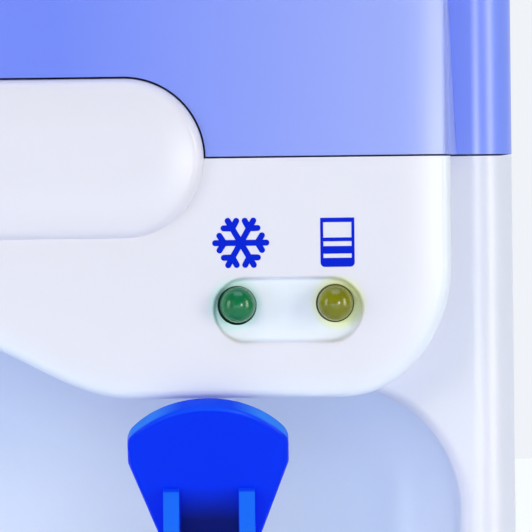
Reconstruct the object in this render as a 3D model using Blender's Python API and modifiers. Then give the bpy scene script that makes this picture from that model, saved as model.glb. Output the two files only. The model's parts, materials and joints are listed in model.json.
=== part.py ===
"""A bottle-fed countertop water dispenser with two push-down taps, as separate named pieces.

Every size below is in millimetres, and the helpers turn it into metres. The origin is on the
surface that the feet stand on, at the middle of the plan. +X is right, -Y is the front, +Z is up.
"""

import math

import bmesh
import bpy
from mathutils import Matrix, Vector

MM = 0.001
GAP = 0.3  # clearance between touching pieces
WALL = 2.5  # thickness of the moulded shells

# Body
HALF_WIDTH = 132.0
FRONT_Y = -132.0
REAR_Y = 158.0
FLOOR_Z = 14.0  # top of the base plate
SEAM_Z = 330.0  # parting line between the white body and the blue hood
HOOD_DRAFT = 2.1  # how much wider the blue part of the head is at its root, on each side
SEAM_GAP = 0.4
HOOD_TOP_Z = 412.0
FASCIA_REAR_Y = -60.0

# Head: the part of the front that stands forward over the taps
HEAD_Y = -150.0
HEAD_HALF = 117.0
HEAD_FILLET = 3.0
CHIN_Z = SEAM_Z - 53.6
CORNER_WIDE, CORNER_HIGH = 24.4, 29.7  # quarter ellipse at each lower corner
ARCH_HALF, ARCH_RISE = 46.5, 15.4  # the chin arches up between the taps
PAD_HALF_LENGTH, PAD_HALF_HEIGHT, PAD_RISE = 62.2, 17.8, 3.5

# Niche behind the taps
NICHE_Y = -75.0
NICHE_HALF = 119.2
NICHE_CORNER = 28.9
NICHE_STEP = 1.7  # its ceiling lies this far above the chin
NICHE_BACK_FILLET = 22.0

# Lamps
LAMP_SPOTS = {"lens_green": (69.35, SEAM_Z - 32.75), "lens_yellow": (91.0, SEAM_Z - 32.6)}
LAMP_RADIUS = 3.95
POCKET_CENTRE = (80.5, SEAM_Z - 34.0)
POCKET_HALF_LENGTH, POCKET_HALF_HEIGHT, POCKET_DEPTH = 16.35, 7.0, 1.5

# Taps
TAP_X = 62.3
TAP_Y = -128.0
SHANK_Z = 209.0
PIVOT_Y = TAP_Y - 4.0
PIVOT_Z = 233.8
LEVER_LEAN = math.radians(35.0)
LEVER_REACH = 47.2
PIN_OFFSET = 4.0  # the pin lies this far in front of the lever's own plane
LEVER_THICKNESS = 3.8
LEVER_HALF, LEVER_ROUND, LEVER_SHOULDER = 17.95, 21.8, 5.5
LEVER_WIDEST, LEVER_TURN = 15.6, 3.0  # below its top, each side turns in here, at this radius
LEVER_FLANK = 17.0  # each flank's angle, in degrees
LEVER_WAIST, LEVER_FOOT = 10.6, 9.0
CHEEK_MIDDLE, CHEEK_HALF = 8.48, 1.8
CHEEK_TOP = LEVER_REACH - 22.8

# Water circuit and cooler
BOTTLE_Y = 15.0
TANK_HALF, TANK_FRONT, TANK_REAR, TANK_LOW, TANK_TOP = 75.0, -48.0, 78.0, 262.0, 382.0
COOLER_Z = 285.0
FAN_Y = 124.5

# Drip tray
TRAY_HALF, TRAY_FRONT, TRAY_REAR, TRAY_TOP = 98.0, -168.0, -80.0, 33.0


# ---- scene, collections and materials ----------------------------------------------------------


def clear_scene():
    for obj in list(bpy.data.objects):
        bpy.data.objects.remove(obj, do_unlink=True)


def new_collection(name):
    collection = bpy.data.collections.new(name)
    bpy.context.scene.collection.children.link(collection)
    return collection


def make_material(name, colour, roughness, metallic=0.0):
    material = bpy.data.materials.new(name)
    material.use_nodes = True
    shader = material.node_tree.nodes["Principled BSDF"]
    shader.inputs["Base Color"].default_value = (*colour, 1.0)
    shader.inputs["Roughness"].default_value = roughness
    shader.inputs["Metallic"].default_value = metallic
    material.diffuse_color = (*colour, 1.0)
    return material


clear_scene()
PARTS = new_collection("countertop_water_dispenser")
CUTTERS = new_collection("cutters")
WHITE = make_material("white_plastic", (0.80, 0.82, 0.93), 0.3)
BLUE = make_material("blue_hood_plastic", (0.24, 0.32, 0.90), 0.25)
LEVER_BLUE = make_material("lever_plastic", (0.01, 0.05, 0.85), 0.2)
BLACK = make_material("black_plastic", (0.02, 0.02, 0.02), 0.45)
CLEAR = make_material("natural_plastic", (0.80, 0.84, 0.86), 0.35)
RUBBER = make_material("rubber", (0.05, 0.05, 0.05), 0.7)
SILICONE = make_material("silicone", (0.78, 0.80, 0.80), 0.45)
FOAM = make_material("foam", (0.70, 0.66, 0.50), 0.9)
STEEL = make_material("steel", (0.62, 0.62, 0.62), 0.25, 1.0)
ALUMINIUM = make_material("aluminium", (0.72, 0.73, 0.75), 0.4, 1.0)
CERAMIC = make_material("ceramic", (0.85, 0.85, 0.82), 0.5)
BOARD = make_material("circuit_board", (0.02, 0.22, 0.08), 0.5)
GREEN_LENS = make_material("green_lens", (0.02, 0.28, 0.10), 0.15)
YELLOW_LENS = make_material("yellow_lens", (0.35, 0.35, 0.03), 0.15)


# ---- shape helpers -----------------------------------------------------------------------------


def add_object(name, mesh):
    """Puts a mesh in the parts collection, with smooth faces and sharp edges over 35 degrees."""
    obj = bpy.data.objects.new(name, mesh)
    PARTS.objects.link(obj)
    mesh.shade_smooth()
    mesh.set_sharp_from_angle(angle=math.radians(35))
    return obj


def add_bmesh(name, shape):
    mesh = bpy.data.meshes.new(name)
    shape.to_mesh(mesh)
    shape.free()
    return add_object(name, mesh)


def block(name, low, high):
    size = Vector(high) - Vector(low)
    centre = (Vector(high) + Vector(low)) / 2
    shape = bmesh.new()
    bmesh.ops.create_cube(shape, size=1.0)
    shape.transform(Matrix.Translation(centre * MM) @ Matrix.Diagonal((*(size * MM), 1.0)))
    return add_bmesh(name, shape)


def rod(name, radius, start, end, sides=20):
    """A cylinder from start to end."""
    start, end = Vector(start), Vector(end)
    along = end - start
    turn = along.to_track_quat("Z", "Y").to_matrix().to_4x4()
    shape = bmesh.new()
    bmesh.ops.create_cone(
        shape,
        cap_ends=True,
        segments=sides,
        radius1=radius * MM,
        radius2=radius * MM,
        depth=along.length * MM,
    )
    shape.transform(Matrix.Translation((start + end) / 2 * MM) @ turn)
    return add_bmesh(name, shape)


def turned(name, profile, centre, steps, axis="Z"):
    """Turns (radius, height) points about an axis. They run down the outer side, from the top.

    A profile that touches the axis at both ends is a solid; any other is closed into a ring.
    """
    solid = profile[0][0] == 0 and profile[-1][0] == 0
    shape = bmesh.new()
    points = [shape.verts.new((radius * MM, 0.0, height * MM)) for radius, height in profile]
    pairs = list(zip(points, points[1:]))
    if not solid:
        pairs.append((points[-1], points[0]))
    for first, second in pairs:
        shape.edges.new((first, second))
    obj = add_bmesh(name, shape)
    screw = obj.modifiers.new("turn", "SCREW")
    screw.steps = screw.render_steps = steps
    screw.use_merge_vertices = True
    screw.merge_threshold = 0.00001
    screw.use_smooth_shade = False
    obj.location = Vector(centre) * MM
    if axis == "-Y":
        obj.rotation_euler = (math.radians(90), 0, 0)
    elif axis == "+Y":
        obj.rotation_euler = (math.radians(-90), 0, 0)
    return obj


PLANES = {
    "XY": Matrix.Identity(4),
    "XZ": Matrix(((1, 0, 0, 0), (0, 0, -1, 0), (0, 1, 0, 0), (0, 0, 0, 1))),
    "YZ": Matrix(((0, 0, 1, 0), (1, 0, 0, 0), (0, 1, 0, 0), (0, 0, 0, 1))),
}


def plate(name, outlines, low, high, plane="XY"):
    """A flat outline, with any holes as further outlines, given thickness from low to high."""
    curve = bpy.data.curves.new(name, "CURVE")
    curve.dimensions = "2D"
    curve.fill_mode = "BOTH"
    curve.extrude = (high - low) / 2 * MM
    for outline in outlines:
        spline = curve.splines.new("POLY")
        spline.points.add(len(outline) - 1)
        spline.use_cyclic_u = True
        for point, (across, up) in zip(spline.points, outline):
            point.co = (across * MM, up * MM, 0.0, 1.0)
    drawn = bpy.data.objects.new(name + "_outline", curve)
    PARTS.objects.link(drawn)
    bpy.context.view_layer.update()
    flat = drawn.evaluated_get(bpy.context.evaluated_depsgraph_get())
    mesh = bpy.data.meshes.new_from_object(flat)
    bpy.data.objects.remove(drawn, do_unlink=True)
    middle = (low + high) / 2
    depth = -middle if plane == "XZ" else middle
    shape = bmesh.new()
    shape.from_mesh(mesh)
    bpy.data.meshes.remove(mesh)
    bmesh.ops.remove_doubles(shape, verts=shape.verts, dist=0.000001)
    shape.transform(PLANES[plane] @ Matrix.Translation((0, 0, depth * MM)))
    return add_bmesh(name, faces_outwards(shape))


def loft(name, rings):
    """A closed skin through rings of 3-D points, all of one count, with a face over each end."""
    shape = bmesh.new()
    rows = [[shape.verts.new(Vector(point) * MM) for point in ring] for ring in rings]
    count = len(rings[0])
    for row, following in zip(rows, rows[1:]):
        for index in range(count):
            after = (index + 1) % count
            shape.faces.new((row[index], row[after], following[after], following[index]))
    shape.faces.new(list(reversed(rows[0])))
    shape.faces.new(rows[-1])
    return add_bmesh(name, faces_outwards(shape))


def faces_outwards(shape):
    bmesh.ops.recalc_face_normals(shape, faces=shape.faces)
    if shape.calc_volume(signed=True) < 0:
        bmesh.ops.reverse_faces(shape, faces=shape.faces)
    return shape


def tube(name, radius, route, spacing, sides_resolution=2):
    """A round tube with filled ends, along a smooth curve through the route's points."""
    points = smooth_route(route, spacing)
    curve = bpy.data.curves.new(name, "CURVE")
    curve.dimensions = "3D"
    curve.bevel_depth = radius * MM
    curve.bevel_resolution = sides_resolution
    curve.use_fill_caps = True
    spline = curve.splines.new("POLY")
    spline.points.add(len(points) - 1)
    for point, place in zip(spline.points, points):
        point.co = (*(place * MM), 1.0)
    obj = bpy.data.objects.new(name, curve)
    PARTS.objects.link(obj)
    return obj


def smooth_route(route, spacing):
    """Points about `spacing` apart on the Catmull-Rom curve through the route."""
    route = [Vector(point) for point in route]
    padded = [2 * route[0] - route[1], *route, 2 * route[-1] - route[-2]]
    points = []
    for before, start, end, after in zip(padded, padded[1:], padded[2:], padded[3:]):
        steps = max(1, round((end - start).length / spacing))
        for step in range(steps):
            t = step / steps
            points.append(
                0.5
                * (
                    2 * start
                    + (end - before) * t
                    + (2 * before - 5 * start + 4 * end - after) * t**2
                    + (3 * start - before - 3 * end + after) * t**3
                )
            )
    return [*points, route[-1]]


def bevel(obj, width, segments=2, angle=40.0):
    modifier = obj.modifiers.new("edges", "BEVEL")
    modifier.width = width * MM
    modifier.segments = segments
    modifier.limit_method = "ANGLE"
    modifier.angle_limit = math.radians(angle)
    return obj


def boolean(obj, other, operation):
    modifier = obj.modifiers.new(operation.lower(), "BOOLEAN")
    modifier.operation = operation
    modifier.object = other
    other.hide_render = True
    other.display_type = "WIRE"
    if other.name in PARTS.objects:
        PARTS.objects.unlink(other)
        CUTTERS.objects.link(other)
    return obj


def cut(obj, *others):
    for other in others:
        boolean(obj, other, "DIFFERENCE")
    return obj


def join(obj, *others):
    for other in others:
        boolean(obj, other, "UNION")
    return obj


def finish(obj, material, pivot=None):
    """Gives a piece its material and, when it moves, puts its origin on its joint."""
    obj.data.materials.clear()
    obj.data.materials.append(material)
    if pivot is not None:
        shift = Vector(pivot) * MM - obj.location
        obj.data.transform(Matrix.Translation(-(obj.rotation_euler.to_matrix().inverted() @ shift)))
        obj.location += shift
    return obj


# ---- outlines ----------------------------------------------------------------------------------


def arc(centre, radius_x, radius_y, start, end, steps):
    """Points on an ellipse's arc, from start to end degrees, both included."""
    points = []
    for step in range(steps + 1):
        angle = math.radians(start + (end - start) * step / steps)
        points.append((centre[0] + radius_x * math.cos(angle), centre[1] + radius_y * math.sin(angle)))
    return points


def circle(centre, radius, steps):
    return arc(centre, radius, radius, 0, 360 - 360 / steps, steps - 1)


def stadium(centre, half_length, half_height, steps=8):
    """A slot's outline: straight along its length, with round ends."""
    straight = half_length - half_height
    right = arc((centre[0] + straight, centre[1]), half_height, half_height, -90, 90, steps)
    left = arc((centre[0] - straight, centre[1]), half_height, half_height, 90, 270, steps)
    return right + left


def rounded(left, right, low, high, radii, steps=5):
    """A rectangle's outline. The corner radii are those at the lower right, and then round to the left."""
    lower_right, upper_right, upper_left, lower_left = radii
    points = arc((right - lower_right, low + lower_right), lower_right, lower_right, -90, 0, steps)
    points += arc((right - upper_right, high - upper_right), upper_right, upper_right, 0, 90, steps)
    points += arc((left + upper_left, high - upper_left), upper_left, upper_left, 90, 180, steps)
    points += arc((left + lower_left, low + lower_left), lower_left, lower_left, 180, 270, steps)
    return points


def mirrored(points):
    """The outline's right half, from its outer end to the middle, with its left half added."""
    return points + [(-across, up) for across, up in reversed(points) if across > 0.001]


def chin_height(across):
    """The head's lower edge: level, with an arch between the taps."""
    if abs(across) >= ARCH_HALF:
        return CHIN_Z
    return CHIN_Z + ARCH_RISE * (1 + math.cos(math.pi * across / ARCH_HALF)) / 2


def arch_points(lift, steps=7):
    places = [ARCH_HALF * (1 - step / steps) for step in range(steps + 1)]
    return [(across, chin_height(across) + lift) for across in places]


def head_outline(grow, top):
    """The white part of the head, seen from the front, grown outwards by `grow`."""
    half = HEAD_HALF + grow
    wide, high = CORNER_WIDE + grow, CORNER_HIGH + grow
    corner = arc((half - wide, CHIN_Z - grow + high), wide, high, 0, -90, 9)
    return mirrored([(half, top), *corner, *arch_points(-grow)])


def hood_head_outline(grow, low):
    """The blue part of the head, seen from the front: it narrows a little towards the top."""
    half, radius = HEAD_HALF + grow, 26.0 + grow
    top = HOOD_TOP_Z - 2.0 + min(grow, 0.0)
    upper = half - 3.4
    corner = arc((upper - radius, top - radius), radius, radius, 0, 90, 6)
    return mirrored([(half, low), *corner, (0.0, top)])


def niche_outline(grow):
    half, radius = NICHE_HALF + grow, NICHE_CORNER + grow
    top = CHIN_Z + NICHE_STEP + grow
    corner = arc((half - radius, top - radius), radius, radius, 0, 90, 7)
    return mirrored([(half, -60.0), *corner, *arch_points(NICHE_STEP + grow)])


def at_depth(outline, depth):
    return [(across, depth, up) for across, up in outline]


def fronted(name, outline_of, rear, front, fillet, draft=0.0, steps=3):
    """A block with the outline seen from the front, its front edge rounded and its root `draft` wider."""
    rings = [at_depth(outline_of(draft), rear)]
    for step in range(steps + 1):
        angle = math.radians(90 * step / steps)
        grow = -fillet * (1 - math.cos(angle))
        rings.append(at_depth(outline_of(grow), front + fillet * (1 - math.sin(angle))))
    return loft(name, rings)


# ---- shells ------------------------------------------------------------------------------------


def pad_outline(grow):
    return stadium((0.0, SEAM_Z), PAD_HALF_LENGTH + grow, PAD_HALF_HEIGHT + grow, 10)


def niche_space(name, grow):
    """The niche as a solid, `grow` larger all round, with its back edges rounded."""
    depth = NICHE_Y + grow
    fillet = NICHE_BACK_FILLET + grow
    rings = [at_depth(niche_outline(grow), FRONT_Y - 60.0)]
    for step in range(6):
        angle = math.radians(18 * step)
        shrink = fillet * (1 - math.cos(angle))
        rings.append(at_depth(niche_outline(grow - shrink), depth - fillet * (1 - math.sin(angle))))
    return loft(name, rings)


def front_fascia():
    """The white front: body front, niche, head panel, chin and the raised pad on the seam."""
    top = SEAM_Z - SEAM_GAP / 2
    plan = rounded(-HALF_WIDTH, HALF_WIDTH, FRONT_Y, FASCIA_REAR_Y, (10.0, 0.01, 0.01, 10.0), 4)
    fascia = plate("front_fascia", [plan], FLOOR_Z + GAP, top)
    cut(fascia, niche_space("niche_void", 0.0))
    head = fronted("head_solid", lambda grow: head_outline(grow, top), FRONT_Y + 1.0, HEAD_Y, HEAD_FILLET)
    pad = fronted("pad_solid", pad_outline, -147.0, HEAD_Y - PAD_RISE, 3.4)
    join(fascia, head, pad)
    inner = WALL * 3.9
    plan = rounded(-HALF_WIDTH + WALL, HALF_WIDTH - WALL, FRONT_Y + WALL, 0.0, (inner, 1.0, 1.0, inner), 4)
    hollow = plate("fascia_hollow", [plan], 0.0, SEAM_Z + 20.0)
    head_hollow = loft(
        "head_hollow",
        [
            at_depth(head_outline(-WALL, SEAM_Z + 10.0), FRONT_Y + 8.0),
            at_depth(head_outline(-WALL, SEAM_Z + 10.0), HEAD_Y + WALL),
        ],
    )
    join(hollow, head_hollow)
    cut(hollow, niche_space("niche_wall_space", WALL))
    pad_hollow = plate("pad_hollow", [pad_outline(-WALL)], HEAD_Y - 1.0, -140.0, "XZ")
    cut(fascia, hollow, pad_hollow)
    pocket = stadium(POCKET_CENTRE, POCKET_HALF_LENGTH, POCKET_HALF_HEIGHT)
    cut(fascia, plate("lamp_pocket", [pocket], HEAD_Y - 2.0, HEAD_Y + POCKET_DEPTH, "XZ"))
    for lamp, (across, up) in LAMP_SPOTS.items():
        start, end = (across, HEAD_Y - 3.0, up), (across, HEAD_Y + 8.0, up)
        cut(fascia, rod(lamp + "_hole", LAMP_RADIUS + GAP, start, end, 24))
    for side in (-1, 1):
        start, end = (side * TAP_X, NICHE_Y - 5.0, SHANK_Z), (side * TAP_X, NICHE_Y + 12.0, SHANK_Z)
        cut(fascia, rod(f"shank_hole_{side}", 6.3, start, end, 20))
    finish(fascia, WHITE)


def top_hood():
    """The blue top shell, whose front is flush with the white panel and is notched round the pad."""
    low = SEAM_Z + SEAM_GAP / 2
    fillet = 8.0

    def plan(grow):
        radii = (10.0 + grow, 12.0 + grow, 12.0 + grow, 10.0 + grow)
        return rounded(-HALF_WIDTH - grow, HALF_WIDTH + grow, FRONT_Y - grow, REAR_Y + grow, radii)

    rings = [[(across, depth, low) for across, depth in plan(0.0)]]
    for step in range(4):
        angle = math.radians(30 * step)
        height = HOOD_TOP_Z - fillet * (1 - math.sin(angle))
        rings.append([(a, d, height) for a, d in plan(-fillet * (1 - math.cos(angle)))])
    hood = loft("top_hood", rings)
    head = fronted(
        "hood_head", lambda grow: hood_head_outline(grow, low), FRONT_Y + 1.0, HEAD_Y, HEAD_FILLET, HOOD_DRAFT
    )
    join(hood, head)
    hollow = plate("hood_hollow", [plan(-WALL)], SEAM_Z - 20.0, HOOD_TOP_Z - WALL - 2.0)
    head_hollow = loft(
        "hood_head_hollow",
        [
            at_depth(hood_head_outline(-WALL, SEAM_Z - 15.0), FRONT_Y + 8.0),
            at_depth(hood_head_outline(-WALL, SEAM_Z - 15.0), HEAD_Y + WALL),
        ],
    )
    cut(hood, hollow, head_hollow)
    cut(hood, plate("pad_notch", [pad_outline(0.4)], HEAD_Y - 10.0, FRONT_Y - 4.0, "XZ"))
    start, end = (0.0, BOTTLE_Y, HOOD_TOP_Z - 20.0), (0.0, BOTTLE_Y, HOOD_TOP_Z + 10.0)
    cut(hood, rod("bottle_opening", 70.0, start, end, 48))
    finish(hood, BLUE)


def cabinet_shell():
    """Both sides and the back in one moulding, with a window for the rear panel."""
    low, high = FLOOR_Z + GAP, SEAM_Z - SEAM_GAP / 2
    front = FASCIA_REAR_Y + GAP
    shell = plate(
        "cabinet_shell",
        [rounded(-HALF_WIDTH, HALF_WIDTH, front, REAR_Y, (0.01, 12.0, 12.0, 0.01))],
        low,
        high,
    )
    inner = rounded(
        -HALF_WIDTH + WALL, HALF_WIDTH - WALL, front - 20.0, REAR_Y - WALL, (0.01, 9.5, 9.5, 0.01)
    )
    cut(shell, plate("cabinet_hollow", [inner], 0.0, SEAM_Z + 10.0))
    window = rounded(-100.0, 100.0, 40.0, 318.0, (6.0, 6.0, 6.0, 6.0), 3)
    cut(shell, plate("rear_window", [window], REAR_Y - 20.0, REAR_Y + 10.0, "XZ"))
    finish(shell, WHITE)


REAR_SCREWS = {"rear_screw_left": (-93.0, 311.0), "rear_screw_right": (93.0, 311.0)}
INLET = (60.0, 57.0)
SWITCH = (24.0, 57.0)
DRAIN = (-70.0, 50.0)


def rear_panel():
    """The removable back, with louvre slots behind the fan and holes for inlet, switch and drain."""
    border = 100.0 - GAP
    outlines = [rounded(-border, border, 40.0 + GAP, 318.0 - GAP, (5.7, 5.7, 5.7, 5.7), 3)]
    for row in range(12):
        for side in (-1, 1):
            outlines.append(stadium((side * 42.0, 166.0 + 12.0 * row), 34.0, 2.5, 2))
    for spot in REAR_SCREWS.values():
        outlines.append(circle(spot, 1.9, 12))
    outlines.append(rounded(INLET[0] - 14.3, INLET[0] + 14.3, INLET[1] - 11.3, INLET[1] + 11.3, (1,) * 4, 2))
    outlines.append(rounded(SWITCH[0] - 8.3, SWITCH[0] + 8.3, SWITCH[1] - 10.3, SWITCH[1] + 10.3, (1,) * 4, 2))
    outlines.append(circle(DRAIN, 7.5, 20))
    finish(plate("rear_panel", outlines, REAR_Y - WALL, REAR_Y - 0.2, "XZ"), WHITE)
    for name, (across, up) in REAR_SCREWS.items():
        head = [(0, 2.4), (2.4, 1.9), (3.4, 0.9), (3.4, GAP), (1.5, GAP), (1.5, -9.0), (0, -10.5)]
        finish(turned(name, head, (across, REAR_Y - 0.2, up), 14, "+Y"), STEEL)


def base_plate():
    """The floor of the body, with a rounded tongue that carries the drip tray."""
    tongue, radius = 104.0, 24.0
    right = arc((tongue - radius, -170.0 + radius), radius, radius, -90, 0, 6)
    right += [(tongue, FRONT_Y - 6.0)]
    right += [(tongue + 6.0, FRONT_Y), (HALF_WIDTH - 10.0, FRONT_Y)]
    right += arc((HALF_WIDTH - 10.0, FRONT_Y + 10.0), 10.0, 10.0, -60, 0, 4)
    right += arc((HALF_WIDTH - 12.0, REAR_Y - 12.0), 12.0, 12.0, 0, 90, 5)
    left = [(-across, depth) for across, depth in reversed(right)]
    base = plate("base_plate", [right + left], 8.0, FLOOR_Z)
    finish(bevel(base, 1.2, 1), WHITE)


def feet():
    spots = {
        "foot_front_left": (-84.0, -145.0),
        "foot_front_right": (84.0, -145.0),
        "foot_rear_left": (-110.0, 134.0),
        "foot_rear_right": (110.0, 134.0),
    }
    for name, (across, depth) in spots.items():
        profile = [(0, 7.7), (12.0, 7.7), (12.0, 5.5), (10.5, 0.8), (9.7, 0.0), (0, 0.0)]
        finish(turned(name, profile, (across, depth, 0.0), 16), RUBBER)


# ---- lamps -------------------------------------------------------------------------------------


def lamps():
    """Two domed lenses that stand in the pocket, on a small circuit board."""
    board_front = HEAD_Y + 7.5
    for name, (across, up) in LAMP_SPOTS.items():
        dome = arc((0.0, 1.0), LAMP_RADIUS, LAMP_RADIUS - 0.2, 90, 0, 3)
        profile = [(0, dome[0][1]), *dome[1:]]
        profile += [(LAMP_RADIUS, -2.4), (4.7, -2.4), (4.7, -3.4), (LAMP_RADIUS, -3.4)]
        profile += [(LAMP_RADIUS, -5.6), (0, -5.6)]
        lens = turned(name, profile, (across, HEAD_Y + 0.5, up), 16, "-Y")
        finish(lens, GREEN_LENS if name == "lens_green" else YELLOW_LENS)
    low = (LAMP_SPOTS["lens_green"][0] - 9.0, board_front, SEAM_Z - 43.0)
    high = (LAMP_SPOTS["lens_yellow"][0] + 9.0, board_front + 1.6, SEAM_Z - 23.0)
    finish(block("indicator_board", low, high), BOARD)


# ---- taps --------------------------------------------------------------------------------------


def lever_matrix(across):
    """The lever's own frame: x across, y up along the lever, z out of its front, behind the pin."""
    along = Vector((0, -math.sin(LEVER_LEAN), math.cos(LEVER_LEAN)))
    outward = Vector((0, -math.cos(LEVER_LEAN), -math.sin(LEVER_LEAN)))
    turn = Matrix((Vector((1, 0, 0)), along, outward)).transposed().to_4x4()
    origin = Vector((across, PIVOT_Y, PIVOT_Z)) - PIN_OFFSET * outward
    return Matrix.Translation(origin * MM) @ turn


def lever_outline():
    """The fan: a round top, shoulders, short straight sides, and flanks that run in to the waist."""
    inside = LEVER_HALF - LEVER_SHOULDER
    middle = LEVER_REACH - LEVER_ROUND
    rise = math.sqrt((LEVER_ROUND - LEVER_SHOULDER) ** 2 - inside**2)
    meet = math.degrees(math.atan2(rise, inside))
    spot = (LEVER_HALF - LEVER_TURN, LEVER_REACH - LEVER_WIDEST)
    turn = arc(spot, LEVER_TURN, LEVER_TURN, -LEVER_FLANK, 0, 1)
    shoulder = arc((inside, middle + rise), LEVER_SHOULDER, LEVER_SHOULDER, 0, meet, 4)
    top = arc((0.0, middle), LEVER_ROUND, LEVER_ROUND, meet, 90, 6)
    drop = (turn[0][0] - LEVER_WAIST) / math.tan(math.radians(LEVER_FLANK))
    side = [(LEVER_WAIST, LEVER_FOOT), (LEVER_WAIST, turn[0][1] - drop), *turn]
    return mirrored(side + shoulder + top[1:])


def lever(name, across):
    """A fan-shaped plate on two cheeks, which straddle the bonnet's post and turn on its pin."""
    frame = lever_matrix(across)
    fan = plate(name, [lever_outline()], -LEVER_THICKNESS, 0.0)
    bevel(fan, 0.9, 2)
    for side in (-1, 1):
        outline = [(CHEEK_TOP, -1.0), (CHEEK_TOP, 0.6), (CHEEK_TOP - 0.6, 1.5), (16.4, 8.6), (13.0, 10.0)]
        outline += arc((0.0, PIN_OFFSET), 5.0, 5.0, 90, 270, 8)
        outline += [(8.0, -1.0)]
        middle = side * CHEEK_MIDDLE
        cheek = plate(f"{name}_cheek_{side}", [outline], middle - CHEEK_HALF, middle + CHEEK_HALF, "YZ")
        cheek.data.transform(frame)
        join(fan, cheek)
    fan.data.transform(frame)
    axis, reach = Vector((across, PIVOT_Y, PIVOT_Z)), Vector((15.0, 0, 0))
    cut(fan, rod(name + "_bore", 1.5, axis - reach, axis + reach, 12))
    finish(fan, LEVER_BLUE, axis)
    pin_name = name.replace("lever", "lever_pin")
    reach = Vector((10.6, 0, 0))
    finish(rod(pin_name, 1.2, axis - reach, axis + reach, 12), STEEL)


def tap(prefix, across):
    """One tap: body, gasket, nut, bonnet, stem, seal and spring. Its lever is made apart."""
    centre = (across, TAP_Y, 0.0)
    spout = [(0, 222.0), (11.0, 222.0), (11.0, 196.0), (8.5, 186.0), (6.6, 178.0), (0, 178.0)]
    body = turned(prefix + "_tap_body", spout, centre, 18)
    shank = rod(prefix + "_shank", 6.0, (across, TAP_Y, SHANK_Z), (across, -61.7, SHANK_Z), 16)
    sleeve = rod(prefix + "_sleeve", 9.0, (across, TAP_Y, SHANK_Z), (across, -79.0, SHANK_Z), 16)
    flange = rod(prefix + "_flange", 13.0, (across, -80.2, SHANK_Z), (across, -77.6, SHANK_Z), 18)
    join(body, sleeve, flange, shank)
    bore = [(0, 230.0), (7.5, 230.0), (7.5, 199.0), (4.2, 199.0), (4.2, 170.0), (0, 170.0)]
    cut(body, turned(prefix + "_bore", bore, centre, 18))
    cut(body, rod(prefix + "_feed", 3.6, (across, TAP_Y, SHANK_Z), (across, -50.0, SHANK_Z), 12))
    finish(body, WHITE)

    wall = (across, NICHE_Y, SHANK_Z)
    gasket = [(12.0, 2.3), (12.0, GAP), (6.5, GAP), (6.5, 2.3)]
    finish(turned(prefix + "_tap_gasket", gasket, wall, 20, "-Y"), RUBBER)
    nut = rod(prefix + "_tap_nut", 10.5, (across, -72.2, SHANK_Z), (across, -66.0, SHANK_Z), 6)
    cut(nut, rod(prefix + "_nut_bore", 6.3, (across, -75, SHANK_Z), (across, -60, SHANK_Z), 20))
    finish(nut, CLEAR)

    ring = [(12.6, 228.0), (12.6, 218.4), (11.3, 218.4), (11.3, 222.3), (2.3, 222.3), (2.3, 228.0)]
    bonnet = turned(prefix + "_bonnet", ring, centre, 18)
    post = turned(prefix + "_post", [(6.0, 237.0), (6.0, 227.0), (2.3, 227.0), (2.3, 237.0)], centre, 18)
    pin_bore = Vector((across, PIVOT_Y, PIVOT_Z))
    reach = Vector((12, 0, 0))
    join(bonnet, post)
    cut(bonnet, rod(prefix + "_pin_bore", 1.5, pin_bore - reach, pin_bore + reach, 12))
    finish(bonnet, WHITE)

    stem = [(0, 240.6), (3.4, 240.6), (3.4, 237.4), (1.8, 237.4), (1.8, 204.6), (4.0, 204.6)]
    stem += [(4.0, 203.4), (1.8, 203.4), (1.8, 201.6), (0, 201.6)]
    finish(turned(prefix + "_valve_stem", stem, centre, 14), CLEAR)
    seal = [(6.3, 203.1), (6.3, 199.4), (3.0, 199.4), (3.0, 200.6), (2.1, 200.6), (2.1, 203.1)]
    finish(turned(prefix + "_valve_seal", seal, centre, 18), SILICONE)

    turns, per_turn, low, high = 4.0, 8, 205.7, 221.2
    route = []
    for step in range(int(turns * per_turn) + 1):
        angle = 2 * math.pi * step / per_turn
        height = low + (high - low) * step / (turns * per_turn)
        route.append((across + 4.6 * math.cos(angle), TAP_Y + 4.6 * math.sin(angle), height))
    finish(tube(prefix + "_valve_spring", 0.6, route, 50.0, 1), STEEL)


# ---- water circuit -----------------------------------------------------------------------------


def collar():
    """The funnel that takes the bottle's neck, its gasket, and the probe that opens the bottle."""
    centre = (0.0, BOTTLE_Y, 0.0)
    outer = [(80.0, 416.2), (80.0, 414.1), (67.0, 414.1), (65.0, 409.0), (34.5, 389.0), (34.5, 366.0)]
    inner = [(28.0, 366.0), (28.0, 367.6), (31.6, 367.6), (31.6, 390.0), (62.0, 411.0), (66.0, 417.0)]
    finish(turned("bottle_collar", [*outer, *inner, (79.0, 417.0)], centre, 32), WHITE)
    ring = [(79.0, 413.8), (79.0, 412.3), (71.0, 412.3), (71.0, 413.8)]
    finish(turned("collar_gasket", ring, centre, 28), SILICONE)
    spike = [(0, 408.0), (2.5, 407.0), (7.0, 400.0), (9.0, 394.0), (9.0, 369.9), (31.0, 369.9)]
    spike += [(31.0, 367.9), (0, 367.9)]
    probe = turned("bottle_probe", spike, centre, 20)
    cut(probe, rod("probe_bore", 6.0, (0, BOTTLE_Y, 360), (0, BOTTLE_Y, 396), 16))
    cut(probe, rod("probe_window", 3.0, (-15, BOTTLE_Y, 388), (15, BOTTLE_Y, 388), 12))
    for step in range(3):
        angle = math.radians(120 * step + 30)
        across, depth = 20 * math.cos(angle), BOTTLE_Y + 20 * math.sin(angle)
        cut(probe, rod(f"probe_air_{step}", 6.0, (across, depth, 360), (across, depth, 380), 14))
    finish(probe, WHITE)


def tank_plan(grow):
    radius = 14.0 + grow
    return rounded(
        -TANK_HALF - grow, TANK_HALF + grow, TANK_FRONT - grow, TANK_REAR + grow, (radius,) * 4, 3
    )


OUTLETS = {"cold": (40.0, -20.0), "drain": (0.0, 56.0)}


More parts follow.
